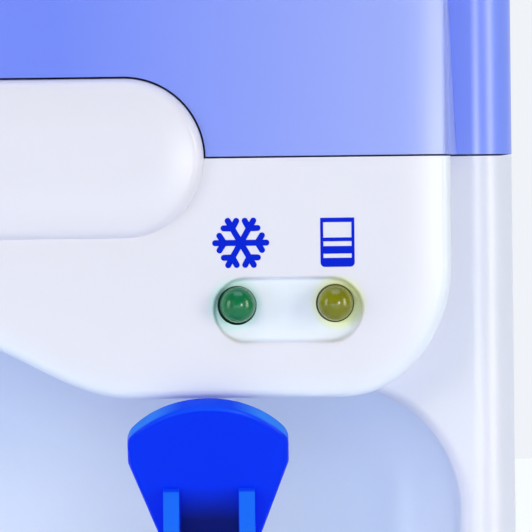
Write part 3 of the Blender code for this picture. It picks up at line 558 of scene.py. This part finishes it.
def hood_plastic():
    """Periwinkle plastic with a painted sheen: paler towards both sides of the head, a painted reflection of
    the side light; the body behind the head takes one deeper blue.
    """
    material, tree, shader = new_material("hood_blue")
    place = place_parts(tree)
    aside = arithmetic(tree, "ABSOLUTE", place["X"])
    # Painted sheen, a painted reflection of the side light: the head's face is painted paler towards both
    # sides, mottled by the cloud below.
    painted_sheen = ranged(tree, aside, 0.0, 1.0, 0.030, 0.108)
    # The body behind the head takes one deeper blue and none of the painted sheen.
    head = ranged(tree, place["Y"], 1.0, 0.0, (FRONT_Y - 2.5) * MM, (FRONT_Y - 0.5) * MM)
    cloud = ranged(tree, noise(tree, 12.0, 4.0, 0.6), -0.04, 0.04)
    painted_sheen = arithmetic(tree, "ADD", painted_sheen, cloud)
    colour = blend(tree, painted_sheen, (0.163, 0.236, 0.87), (0.32, 0.385, 0.88))
    tree.links.new(blend(tree, head, (0.21, 0.30, 0.96), colour), shader.inputs["Base Color"])
    tree.links.new(ranged(tree, noise(tree, 60.0), 0.28, 0.33), shader.inputs["Roughness"])
    bump(tree, shader, noise(tree, 1400.0, 2.0), 0.2, 0.000004)
    return material


def lever_plastic():
    """Royal blue with painted light: painted highlights on its upright faces, most on the cheek fronts, and
    on the sides of its rim, and painted shade low between the two cheeks.
    """
    material, tree, shader = new_material("lever_blue")
    normal, place = place_parts(tree, "Normal"), place_parts(tree)
    # Painted highlights: faces that look straight out are painted lighter, fully below the cheek tops, and
    # rim faces that turn up and sideways get painted cyan streaks.
    upright = ranged(tree, normal["Y"], 1.0, 0.0, -0.97, -0.90)
    upward_highlight = ranged(tree, normal["Z"], 0.0, 1.0, 0.15, 0.4)
    sideways_highlight = ranged(tree, arithmetic(tree, "ABSOLUTE", normal["X"]), 0.15, 0.9, 0.25, 0.55)
    cheeks = ranged(tree, place["Z"], 1.0, 0.3, PIVOT.z * MM + 0.0226, PIVOT.z * MM + 0.0232)
    from_tap = arithmetic(tree, "SUBTRACT", arithmetic(tree, "ABSOLUTE", place["X"]), TAP_X * MM)
    aside = arithmetic(tree, "ABSOLUTE", from_tap)
    edge = (CHEEK_MIDDLE - CHEEK_HALF) * MM
    # Painted shade: the paddle low down between the two cheeks is painted nearly black-blue.
    between = ranged(tree, aside, 1.0, 0.0, edge - 0.0004, edge + 0.0002)
    low = ranged(tree, place["Z"], 0.0, 1.0, PIVOT.z * MM + 0.0228, PIVOT.z * MM + 0.0148)
    colour = blend(tree, noise(tree, 40.0, 4.0, 0.6), (0.0005, 0.029, 0.83), (0.0010, 0.034, 0.88))
    # Painted highlight colours: cyan on the rim's sides, lighter blue on upright faces.
    colour = blend(tree, arithmetic(tree, "MULTIPLY", upward_highlight, sideways_highlight), colour, (0.03, 0.23, 0.90))
    colour = blend(tree, arithmetic(tree, "MULTIPLY", upright, cheeks), colour, (0.012, 0.15, 0.90))
    # Painted shade between the cheeks.
    colour = blend(tree, arithmetic(tree, "MULTIPLY", between, low), colour, (0.003, 0.012, 0.20))
    tree.links.new(colour, shader.inputs["Base Color"])
    tree.links.new(ranged(tree, noise(tree, 60.0, 3.0, 0.6), 0.20, 0.25), shader.inputs["Roughness"])
    bump(tree, shader, noise(tree, 1400.0, 2.0), 0.2, 0.000004)
    shader.inputs["Specular IOR Level"].default_value = 0.07
    return material


WHITE = shell_plastic()
BLUE = hood_plastic()
LEVER_BLUE = lever_plastic()
GRILLE_BLUE = plastic("grille_blue", (0.003, 0.045, 0.82), 0.28, 0.04, specular=0.3, spread=0.06)
INK = plastic("printed_ink", (0.001, 0.017, 0.65), 0.5, spread=0.08, specular=0.04)
BLACK = plastic("black_nylon", (0.018, 0.018, 0.02), 0.45, 0.05, 900.0, 0.00003)
NATURAL = plastic("natural_polypropylene", (0.74, 0.78, 0.80), 0.4, 0.04, 500.0, subsurface=0.3)
RUBBER = plastic("black_rubber", (0.03, 0.03, 0.032), 0.75, 0.08, 700.0, 0.00004)
SILICONE = plastic("silicone", (0.72, 0.75, 0.76), 0.42, 0.04, 600.0, subsurface=0.4)
FOAM = plastic("expanded_foam", (0.66, 0.62, 0.45), 0.9, 0.05, 260.0, 0.0004, spread=0.2)
CERAMIC = plastic("alumina_ceramic", (0.82, 0.82, 0.80), 0.55, 0.05, 900.0)
BOARD = plastic("solder_mask", (0.01, 0.16, 0.06), 0.35, 0.05, 300.0, 0.00003)
STEEL = metal("brushed_steel", (0.60, 0.60, 0.61), 0.28, (1, 1, 12))
ALUMINIUM = metal("extruded_aluminium", (0.70, 0.71, 0.73), 0.4, (18, 18, 1))
GREEN_LENS = lens_plastic("green_lens", (0.002, 0.27, 0.085), (0.001, 0.12, 0.036))
YELLOW_LENS = lens_plastic("yellow_lens", (0.30, 0.31, 0.001), (0.13, 0.125, 0.001))


# ---- shells --------------------------------------------------------------------------------------


def pad_outline(grow):
    return stadium((0.0, SEAM_Z), PAD_HALF_LENGTH + grow, PAD_HALF_HEIGHT + grow, 40)


def niche_space(name, grow):
    """The niche as a solid, `grow` larger all round, with its lip and its back edges rounded."""
    fillet, steps, lip = NICHE_BACK_FILLET + grow, 20, 2.8
    rings = [at_depth(niche_outline(grow + lip), FRONT_Y - 60.0)]
    for step in range(9):
        angle = math.radians(11.25 * step)
        depth = FRONT_Y + lip * (1 - math.cos(angle))
        rings.append(at_depth(niche_outline(grow + lip * (1 - math.sin(angle))), depth))
    for step in range(steps + 1):
        angle = math.radians(90 * step / steps)
        shrink = fillet * (1 - math.cos(angle))
        depth = NICHE_Y + grow - fillet * (1 - math.sin(angle))
        rings.append(at_depth(niche_outline(grow - shrink), depth))
    return loft(name, rings)


def front_fascia():
    """White front: body front, niche, head panel, chin, raised pad and the lamps' pocket."""
    plan = rounded(-HALF_WIDTH, HALF_WIDTH, FRONT_Y, FASCIA_HIGH.y, (10.0, 0.01, 0.01, 10.0))
    fascia = plate("fascia", [plan], FASCIA_LOW.z, PANEL_TOP)
    cut(fascia, niche_space("niche_void", 0.0))
    head = crowned(
        "head_solid", lambda grow, root: head_outline(grow, PANEL_TOP), FRONT_Y + 1.0, HEAD_Y,
        HEAD_FILLET, CROWN, CROWN_WIDTH,
    )
    pad = crowned("pad_solid", lambda grow, root: pad_outline(grow), -147.0, HEAD_Y - PAD_RISE, 3.2, 1.1, 9.0)
    join(fascia, head)
    join(fascia, pad)
    inner = 9.75
    plan = rounded(-HALF_WIDTH + WALL, HALF_WIDTH - WALL, FRONT_Y + WALL, 0.0, (inner, 1.0, 1.0, inner))
    hollow = plate("fascia_hollow", [plan], 0.0, SEAM_Z + 20.0)
    inner_outline = head_outline(-WALL, SEAM_Z + 10.0)
    rings = [at_depth(inner_outline, FRONT_Y + 8.0), at_depth(inner_outline, HEAD_Y + WALL + 0.4)]
    join(hollow, loft("head_hollow", rings))
    cut(hollow, niche_space("niche_wall_space", WALL))
    pad_hollow = plate("pad_hollow", [pad_outline(-WALL)], HEAD_Y - 0.6, -140.0, "XZ")
    cut(fascia, hollow, pad_hollow)
    cut(fascia, pocket_space())
    # Each hole sits a little low and left of its lens, so the gap round the lens is widest there
    for name, lens, radius, aside in (("green_hole", GREEN, 4.35, 0.2), ("yellow_hole", YELLOW, 4.25, 0.05)):
        across, up = lens.x - aside, lens.z - aside
        cut(fascia, rod(name, radius, (across, HEAD_Y - 4.0, up), (across, HEAD_Y + 8.0, up), 64))
    for side in (-1, 1):
        start = (side * TAP_X, NICHE_Y - 5.0, SHANK_Z)
        cut(fascia, rod(f"shank_hole_{side}", 6.3, start, (start[0], NICHE_Y + 12.0, start[2])))
    shade(fascia)
    dress(fascia, WHITE, "white_shell", "root", "front_fascia")


def pocket_space():
    """The shallow stadium recess of the lamps, with a soft lip and a soft inner corner."""
    half_length, half_height, depth, lip, corner = 16.35, 7.0, 1.45, 0.75, 0.65

    def ring(grow, behind):
        return at_depth(stadium(POCKET, half_length + grow, half_height + grow, 40), HEAD_Y + behind)

    rings = [ring(lip, -1.0)]
    for step in range(5):
        angle = math.radians(90 * step / 4)
        rings.append(ring(lip * (1 - math.sin(angle)), lip * (1 - math.cos(angle))))
    for step in range(5):
        angle = math.radians(90 * step / 4)
        rings.append(ring(-corner * (1 - math.cos(angle)), depth - corner * (1 - math.sin(angle))))
    return loft("lamp_pocket", rings)


def top_hood():
    """Blue top shell, its front flush with the panel and notched round the pad."""
    low, fillet = HOOD_LOW.z, 8.0

    def plan(grow):
        radii = (10.0 + grow, 12.0 + grow, 12.0 + grow, 10.0 + grow)
        return rounded(-HALF_WIDTH - grow, HALF_WIDTH + grow, FRONT_Y - grow, REAR_Y + grow, radii)

    rings = [[(across, depth, low) for across, depth in plan(0.0)]]
    for step in range(11):
        angle = math.radians(9 * step)
        height = HOOD_HIGH.z - fillet * (1 - math.sin(angle))
        rings.append([(a, d, height) for a, d in plan(-fillet * (1 - math.cos(angle)))])
    hood = loft("hood", rings)

    inset, draft, edge = 0.9, 3.0, 1.0

    def head_at(grow, root):
        """The head's outline: set in at its face, where root is 0, and wider and tapered at its root."""
        return hood_head_outline(grow - inset + draft * root, low, HOOD_TAPER * root)

    ledge = [(0.3, 0.25, HEAD_Y + 5.5), (-0.3, 0.25, HEAD_Y + 5.0)]
    head = crowned("hood_head", head_at, FRONT_Y + 1.0, HEAD_Y, edge, CROWN, CROWN_WIDTH, ledge)
    join(hood, head)
    hollow = plate("hood_hollow", [plan(-WALL)], SEAM_Z - 20.0, HOOD_HIGH.z - WALL - 2.0)
    inner_outline = hood_head_outline(-WALL - 3.4, SEAM_Z - 15.0, 0.0)
    rings = [at_depth(inner_outline, FRONT_Y + 8.0), at_depth(inner_outline, HEAD_Y + WALL + 0.4)]
    cut(hood, hollow, loft("hood_head_hollow", rings))
    cut(hood, plate("pad_notch", [pad_outline(0.4)], HEAD_Y - 10.0, FRONT_Y - 4.0, "XZ"))
    start, end = (0.0, BOTTLE_Y, HOOD_HIGH.z - 20.0), (0.0, BOTTLE_Y, HOOD_HIGH.z + 10.0)
    cut(hood, rod("bottle_opening", 70.0, start, end, 96))
    shade(hood)
    dress(hood, BLUE, "blue_hood", "root", "top_hood")


def cabinet():
    """Both sides and the back, with a window for the rear panel."""
    plan = rounded(-HALF_WIDTH, HALF_WIDTH, CABINET_LOW.y, REAR_Y, (0.01, 12.0, 12.0, 0.01))
    shell = plate("cabinet", [plan], CABINET_LOW.z, CABINET_HIGH.z)
    inner = rounded(
        -HALF_WIDTH + WALL, HALF_WIDTH - WALL, CABINET_LOW.y - 20.0, REAR_Y - WALL, (0.01, 9.5, 9.5, 0.01)
    )
    cut(shell, plate("cabinet_hollow", [inner], 0.0, SEAM_Z + 10.0))
    window = rounded(-100.0, 100.0, 40.0, 318.0, (6.0, 6.0, 6.0, 6.0))
    cut(shell, plate("rear_window", [window], REAR_Y - 20.0, REAR_Y + 10.0, "XZ"))
    shade(shell)
    dress(shell, WHITE, "white_shell", "root", "cabinet_shell")


# ---- printed symbols -----------------------------------------------------------------------------


def snowflake():
    """Six arms, each with a V near its tip, drawn as one outline."""
    centre = Vector((70.15, SEAM_Z - 19.0))
    half_width, arm, fork, branch, splay = 0.67, 5.68, 3.70, 1.92, 58.0
    lean = math.radians(splay)
    toward = Vector((math.cos(lean), math.sin(lean)))
    tip = Vector((fork, 0.0)) + toward * branch
    near = fork - half_width * (1 - math.cos(lean)) / math.sin(lean)
    far = fork + half_width * (1 + math.cos(lean)) / math.sin(lean)
    half = [(near, half_width), *arc(tip, half_width, half_width, splay + 90, splay - 90, 12)]
    half += [(far, half_width), *arc((arm, 0.0), half_width, half_width, 90, 0, 8)]
    whole = [(half_width / math.tan(math.radians(30)), half_width), *half]
    whole = [(x, -y) for x, y in whole] + [(x, y) for x, y in reversed(whole[1:-1])]
    outline = []
    for index in range(6):
        turn = Matrix.Rotation(math.radians(60 * index), 2)
        outline += [tuple(centre + turn @ Vector(point)) for point in whole]
    flake = plate("snowflake_symbol", [outline], HEAD_Y - 0.05, HEAD_Y + 0.3, "XZ")
    shade(flake)
    dress(flake, INK, "lever_blue", "root")


def tank_symbol():
    """An outlined tank with two level bars and a filled foot."""
    left, right, low, top = 87.82, 95.41, SEAM_Z - 24.57, SEAM_Z - 13.65
    front, back = HEAD_Y - 0.05, HEAD_Y + 0.3
    outer = rounded(left, right, low, top, (0.98, 0.05, 0.05, 0.98), 8)
    inner = rounded(left + 0.66, right - 0.66, low + 2.0, top - 0.98, (0.02,) * 4, 2)
    body = plate("tank_symbol", [outer, inner], front, back, "XZ")
    for name, bottom, height in (("upper", 5.68, 0.84), ("lower", 2.94, 1.68)):
        line = rounded(left + 0.3, right - 0.3, low + bottom, low + bottom + height, (0.02,) * 4, 2)
        join(body, plate(f"tank_line_{name}", [line], front + 0.01, back - 0.01, "XZ"))
    shade(body)
    dress(body, INK, "lever_blue", "root")


# ---- lamps ---------------------------------------------------------------------------------------


def lamps():
    """Domed diffusing lenses, standing in the pocket."""
    for node, low, high, material in (
        ("lens_green", GREEN_LOW, GREEN_HIGH, GREEN_LENS),
        ("lens_yellow", YELLOW_LOW, YELLOW_HIGH, YELLOW_LENS),
    ):
        centre = (low + high) / 2
        radius, base = 3.95, -4.8
        profile = [(0, radius - 0.2 + 0.5)]
        profile += [(r, h + 0.5) for r, h in arc((0.0, 0.0), radius, radius - 0.2, 84, 0, 14)]
        profile += [(radius, -2.9), (4.15, -2.9), (4.15, -3.9), (radius, -3.9), (radius, base), (0, base)]
        lens = turned(node + "_dome", profile, (centre.x, HEAD_Y, centre.z), 64, "-Y")
        shade(lens, 40)
        dress(lens, material, node.replace("lens_", "") + "_lens", "root", node)


# ---- taps ----------------------------------------------------------------------------------------


def lever_matrix(across):
    """The lever's own frame: x across, y up along the lever, z out of its front, behind the pin."""
    along = Vector((0, -math.sin(LEAN), math.cos(LEAN)))
    outward = Vector((0, -math.cos(LEAN), -math.sin(LEAN)))
    turn = Matrix((Vector((1, 0, 0)), along, outward)).transposed().to_4x4()
    origin = Vector((across, PIVOT.y, PIVOT.z)) - PIN_OFFSET * outward
    return Matrix.Translation(origin * MM) @ turn


def lever_outline(grow):
    """A fan: a round top, shoulders, short straight sides, then flanks that run in to the waist."""
    radius, shoulder, half, widest, corner = 21.8, 5.5, 17.95, 15.6, 3.0
    slope, waist, foot = 17.0, 10.6, 9.0
    inside = half - shoulder
    rise = math.sqrt((radius - shoulder) ** 2 - inside**2)
    middle = LEVER_REACH - radius
    meet = math.degrees(math.atan2(rise, inside))
    turn = arc((half - corner, LEVER_REACH - widest), corner + grow, corner + grow, -slope, 0, 6)
    shoulders = arc((inside, middle + rise), shoulder + grow, shoulder + grow, 0, meet, 12)
    top = arc((0.0, middle), radius + grow, radius + grow, meet, 90, 32)
    drop = (turn[0][0] - waist - grow) / math.tan(math.radians(slope))
    side = [(waist + grow, foot - grow), (waist + grow, turn[0][1] - drop), *turn]
    return mirrored(side + shoulders + top[1:])


def lever(prefix, across):
    """A fan-shaped paddle with softened edges, standing on two cheeks."""
    front_fillet, back_fillet, thickness = 1.15, 0.5, 3.8
    rings = []
    for step in range(7):
        angle = math.radians(15 * step)
        outline = lever_outline(-back_fillet * (1 - math.sin(angle)))
        rings.append([(a, v, -thickness + back_fillet * (1 - math.cos(angle))) for a, v in outline])
    for step in range(9):
        angle = math.radians(11.25 * step)
        outline = lever_outline(-front_fillet * (1 - math.cos(angle)))
        rings.append([(a, v, -front_fillet * (1 - math.sin(angle))) for a, v in outline])
    fan = loft(prefix + "_paddle", rings)
    top, middle, half = LEVER_REACH - 22.8, CHEEK_MIDDLE, CHEEK_HALF
    for side in (-1, 1):
        outline = [(top, -1.0), (top, 0.4)] + arc((top - 1.2, 0.4), 1.2, 1.2, 10, 50, 5)
        outline += [(16.4, 8.6)] + arc((13.0, 5.5), 4.6, 4.6, 45, 90, 6)
        outline += arc((0.0, PIN_OFFSET), 5.0, 5.0, 90, 270, 24)
        outline += [(8.0, -1.0)]
        centre = side * middle
        cheek = plate(f"{prefix}_cheek_{side}", [outline], centre - half, centre + half, "YZ")
        bevel(cheek, 0.6, 4)
        join(fan, cheek)
    fan.data.transform(lever_matrix(across))
    axis, reach = Vector((across, PIVOT.y, PIVOT.z)), Vector((15.0, 0, 0))
    cut(fan, rod(prefix + "_bore", 1.5, axis - reach, axis + reach, 32))
    shade(fan)
    dress(fan, LEVER_BLUE, "lever_blue", prefix + "_lever", prefix + "_lever")


def tap(prefix, across):
    """White tap body with its spout and shank, and the bonnet that holds the lever's pin."""
    centre = (across, TAP_Y, 0.0)
    low, high = corners(prefix + "_tap_body")
    spout = [(4.2, low.z), (6.0, low.z), (6.6, low.z + 0.6), (8.5, 186.0), (10.6, 195.0), (11.0, 198.0)]
    spout += [(11.0, high.z - 0.5), (10.5, high.z), (7.5, high.z), (7.5, 199.0), (4.2, 199.0)]
    body = turned(prefix + "_tap", spout, centre, 64)
    sleeve = rod(prefix + "_sleeve", 9.0, (across, TAP_Y + 8.0, SHANK_Z), (across, -79.0, SHANK_Z))
    flange = [(0, 3.2), (8.0, 3.2), (12.4, 2.4), (13.0, 1.8), (13.0, 0), (0, 0)]
    flange = turned(prefix + "_flange", flange, (across, -77.6, SHANK_Z), 64, "-Y")
    shank = rod(prefix + "_shank", 6.0, (across, -79.0, SHANK_Z), (across, high.y, SHANK_Z))
    join(body, sleeve)
    join(body, flange)
    join(body, shank)
    cut(body, rod(prefix + "_feed", 3.6, (across, TAP_Y + 2.0, SHANK_Z), (across, -50.0, SHANK_Z)))
    shade(body, 38)
    dress(body, WHITE, "white_shell", "root", prefix + "_tap_body")

    low, high = corners(prefix + "_bonnet")
    post = Vector((across, TAP_Y, 0))
    ring = [(2.3, high.z), (5.6, high.z), (6.0, high.z - 0.4), (6.0, 229.0), (7.0, 228.0)]
    ring += [(11.8, 228.0), (12.6, 227.2), (12.6, low.z), (11.3, low.z), (11.3, 222.3), (2.3, 222.3)]
    bonnet = turned(prefix + "_cap", ring, post, 72)
    for index in range(18):
        angle = math.radians(20 * index)
        spot = post + Vector((13.2 * math.cos(angle), 13.2 * math.sin(angle), 0))
        start, end = spot + Vector((0, 0, 215)), spot + Vector((0, 0, 226.4))
        cut(bonnet, rod(f"{prefix}_grip_{index}", 0.9, start, end, 12))
    axis, reach = Vector((across, PIVOT.y, PIVOT.z)), Vector((12.0, 0, 0))
    cut(bonnet, rod(prefix + "_pin_bore", 1.5, axis - reach, axis + reach, 24))
    shade(bonnet)
    dress(bonnet, WHITE, "white_shell", "root", prefix + "_bonnet")


def valve_spring(prefix):
    """The CAD coil, copied in place, welded, shaded and made steel; the CAD node is hidden."""
    node = prefix + "_valve_spring"
    source = frame["nodes"][node]
    coil = link(prefix + "_coil", source.data.copy())
    coil.matrix_world = source.matrix_world
    weld = coil.modifiers.new("weld", "WELD")
    weld.merge_threshold = 0.00001
    settle(coil)
    shade(coil, 50)
    coil.data.materials.clear()
    coil.data.materials.append(STEEL)
    for polygon in coil.data.polygons:
        polygon.material_index = 0
    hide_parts(node)
    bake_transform(coil)


# ---- top, tray and feet --------------------------------------------------------------------------


def collar():
    centre = (0.0, BOTTLE_Y, 0.0)
    low, high = COLLAR_LOW.z, COLLAR_HIGH.z
    outer = [(79.2, high), (80.0, high - 0.8), (80.0, high - 2.9), (67.0, high - 2.9), (65.0, 409.0)]
    outer += [(34.5, 389.0), (34.5, low), (28.0, low), (28.0, low + 1.6), (31.6, low + 1.6)]
    inner = [(31.6, 389.0), (33.0, 391.6), (61.0, 410.6), (64.0, 413.6), (65.6, high - 0.6), (66.6, high)]
    ring = turned("collar_funnel", outer + inner, centre, 128)
    shade(ring, 25)
    dress(ring, WHITE, "white_shell", "bottle_collar", "bottle_collar")

    spike = [(0, 408.0), (1.6, 407.6), (3.0, 406.4), (7.0, 400.0), (8.6, 396.0), (9.0, 393.0)]
    spike += [(9.0, 371.0), (10.0, 369.9), (31.0, 369.9), (31.0, 367.9), (0, 367.9)]
    probe = turned("collar_probe", spike, centre, 64)
    cut(probe, rod("probe_bore", 6.0, (0, BOTTLE_Y, 360), (0, BOTTLE_Y, 396)))
    cut(probe, rod("probe_window", 3.0, (-15, BOTTLE_Y, 388), (15, BOTTLE_Y, 388)))
    for step in range(3):
        angle = math.radians(120 * step + 30)
        across, depth = 20 * math.cos(angle), BOTTLE_Y + 20 * math.sin(angle)
        cut(probe, rod(f"probe_air_{step}", 6.0, (across, depth, 360), (across, depth, 380)))
    shade(probe)
    dress(probe, WHITE, "white_shell", "bottle_collar", "bottle_probe")


def tray_plan(inset):
    front, rear = 20.0 - inset, max(6.0 - inset, 0.5)
    return rounded(
        TRAY_LOW.x + inset, TRAY_HIGH.x - inset, TRAY_LOW.y + inset, TRAY_HIGH.y - inset,
        (front, rear, rear, front),
    )


def drip_tray():
    tray = plate("tray", [tray_plan(0.0)], TRAY_LOW.z, TRAY_HIGH.z)
    bevel(tray, 1.2, 4)
    cut(tray, plate("tray_inside", [tray_plan(4.5)], TRAY_LOW.z + 2.5, TRAY_HIGH.z + 5.0))
    cut(tray, plate("tray_ledge", [tray_plan(2.0)], TRAY_HIGH.z - 3.4, TRAY_HIGH.z + 5.0))
    shade(tray)
    dress(tray, WHITE, "white_shell", "drip_tray", "drip_tray")

    outlines = [tray_plan(2.4)]
    for row in range(6):
        depth = TRAY_LOW.y + 19.0 + 10.0 * row
        for side in (-1, 1):
            outlines.append(stadium((side * 42.0, depth), 34.0, 2.6, 12))
    grille = plate("grille", outlines, GRILLE_LOW.z, GRILLE_HIGH.z)
    bevel(grille, 0.5, 3)
    shade(grille)
    dress(grille, GRILLE_BLUE, "lever_blue", "drip_grille", "drip_grille")


def feet():
    for name in ("foot_front_left", "foot_front_right", "foot_rear_left", "foot_rear_right"):
        low, high = corners(name)
        centre = (low + high) / 2
        profile = [(0, high.z), (12.0, high.z), (12.0, 5.5), (10.8, 1.2), (10.3, 0.3), (9.7, 0.0)]
        profile += [(5.0, 0.0), (4.6, 0.5), (0, 0.5)]
        foot = turned(name + "_pad", profile, (centre.x, centre.y, 0.0), 48)
        shade(foot)
        dress(foot, RUBBER, "rubber", "root", name)


# ---- CAD pieces that keep their shape ------------------------------------------------------------

KEPT = {
    WHITE: ["rear_panel", "base_plate", "drain_fitting"],
    BLUE: ["drain_cap"],
    BLACK: ["fan_frame", "fan_rotor", "inlet_socket", "switch_bezel", "switch_rocker"],
    NATURAL: [
        "reservoir", "reservoir_lid", "reservoir_baffle", "level_stem", "cold_tap_nut",
        "ambient_tap_nut", "cold_valve_stem", "ambient_valve_stem",
    ],
    RUBBER: ["cold_tap_gasket", "ambient_tap_gasket"],
    SILICONE: [
        "collar_gasket", "lid_gasket", "level_float", "cold_valve_seal", "ambient_valve_seal",
        "cold_tube", "ambient_tube", "drain_tube",
    ],
    FOAM: ["foam_jacket"],
    STEEL: [
        "rear_screw_left", "rear_screw_right", "cold_lever_pin", "ambient_lever_pin",
        "power_supply",
    ],
    ALUMINIUM: ["cold_block", "heat_sink"],
    CERAMIC: ["thermoelectric_module"],
    BOARD: ["indicator_board"],
}


def carried_over():
    for material, names in KEPT.items():
        for name in names:
            obj = frame["nodes"][name]
            obj.data.materials.clear()
            obj.data.materials.append(material)
            for polygon in obj.data.polygons:
                polygon.material_index = 0
            weld = obj.modifiers.new("weld", "WELD")
            weld.merge_threshold = 0.00001
            shade(obj)


# ---- floor, light and camera ---------------------------------------------------------------------


AIM = Vector((0.03, -0.12, 0.28))  # the softboxes point here, in metres
WIDTH_SEEN = 0.1181  # metres of the head's face that the picture takes in, side to side

# Name, place, size, watts and colour, in metres
SOFTBOXES = [
    ("side_left", (-1.45, -1.0, 0.5), (0.45, 1.1), 9.3, (0.95, 1.0, 1.0)),
    ("side_right", (1.6, -1.0, 0.5), (0.45, 1.1), 16.0, (1.0, 0.97, 0.82)),
    ("top", (0.1, -0.4, 1.9), (1.2, 1.2), 13.0, (0.62, 0.74, 1.0)),
    ("front_low", (0.0, -1.3, 0.12), (1.0, 0.16), 2.1, (0.65, 0.86, 1.0)),
    ("left_front", (-0.6, -1.3, 0.7), (0.5, 0.5), 4.4, (1.0, 0.88, 0.66)),
    ("edge_sheen", (0.47, -1.05, 0.32), (0.1, 0.18), 2.5, (1.0, 1.0, 1.0)),
]


def studio():
    material, tree, shader = new_material("studio_floor")
    tone = noise(tree, 3.0)
    tree.links.new(blend(tree, tone, (0.78, 0.84, 0.94), (0.76, 0.82, 0.92)), shader.inputs["Base Color"])
    shader.inputs["Roughness"].default_value = 0.6
    shader.inputs["Emission Color"].default_value = (0.92, 0.95, 1.0, 1)
    glow = ranged(tree, place_parts(tree)["Y"], 0.08, 0.75, 0.18, 0.6)
    tree.links.new(glow, shader.inputs["Emission Strength"])
    shape = bmesh.new()
    bmesh.ops.create_grid(shape, x_segments=8, y_segments=8, size=4.0)
    floor = from_bmesh("floor", shape)
    floor.data.materials.append(material)

    world = bpy.data.worlds.new("studio")
    bpy.context.scene.world = world
    world.use_nodes = True
    background = world.node_tree.nodes["Background"]
    background.inputs["Color"].default_value = (0.92, 0.95, 1.0, 1)
    place = world.node_tree.nodes.new("ShaderNodeTexCoord")
    parts = world.node_tree.nodes.new("ShaderNodeSeparateXYZ")
    world.node_tree.links.new(place.outputs["Generated"], parts.inputs["Vector"])
    behind = ranged(world.node_tree, parts.outputs["Y"], 0.10, 0.95, 0.3, 0.9)
    seen = world.node_tree.nodes.new("ShaderNodeLightPath").outputs["Is Camera Ray"]
    backdrop = arithmetic(world.node_tree, "MAXIMUM", behind, ranged(world.node_tree, seen, 0.0, 0.92))
    world.node_tree.links.new(backdrop, background.inputs["Strength"])

    for name, place, size, power, colour in SOFTBOXES:
        light = bpy.data.lights.new(name, "AREA")
        light.shape = "RECTANGLE"
        light.size, light.size_y = size
        light.energy = power
        light.color = colour
        obj = bpy.data.objects.new(name, light)
        bpy.context.scene.collection.objects.link(obj)
        obj.location = place
        obj.visible_diffuse = name != "edge_sheen"
        obj.visible_glossy = name != "left_front"
        obj.rotation_euler = (AIM - Vector(place)).to_track_quat("-Z", "Y").to_euler()

    view = bpy.context.scene.view_settings
    view.view_transform = "Standard"
    view.look = "None"


def camera():
    """A long lens, nearly square-on to the head: a hair to the right and a degree above."""
    target = Vector((75.7, HEAD_Y, SEAM_Z - 24.2)) * MM
    away, azimuth, elevation, roll = 0.95, math.radians(0.2), math.radians(1.0), math.radians(0.7)
    level = math.cos(elevation)
    toward = Vector((math.sin(azimuth) * level, -math.cos(azimuth) * level, math.sin(elevation)))
    data = bpy.data.cameras.new("camera")
    data.sensor_width = 36.0
    data.lens = data.sensor_width * away / WIDTH_SEEN
    data.clip_start = 0.01
    obj = bpy.data.objects.new("camera", data)
    bpy.context.scene.collection.objects.link(obj)
    obj.location = target + toward * away
    aim = (-toward).to_track_quat("-Z", "Y").to_matrix().to_4x4()
    obj.rotation_euler = (aim @ Matrix.Rotation(-roll, 4, "Z")).to_euler()
    bpy.context.scene.camera = obj


camera()
studio()
front_fascia()
top_hood()
cabinet()
snowflake()
tank_symbol()
lamps()
for prefix, across in (("cold", TAP_X), ("ambient", -TAP_X)):
    tap(prefix, across)
    lever(prefix, across)
    valve_spring(prefix)
collar()
drip_tray()
feet()
carried_over()
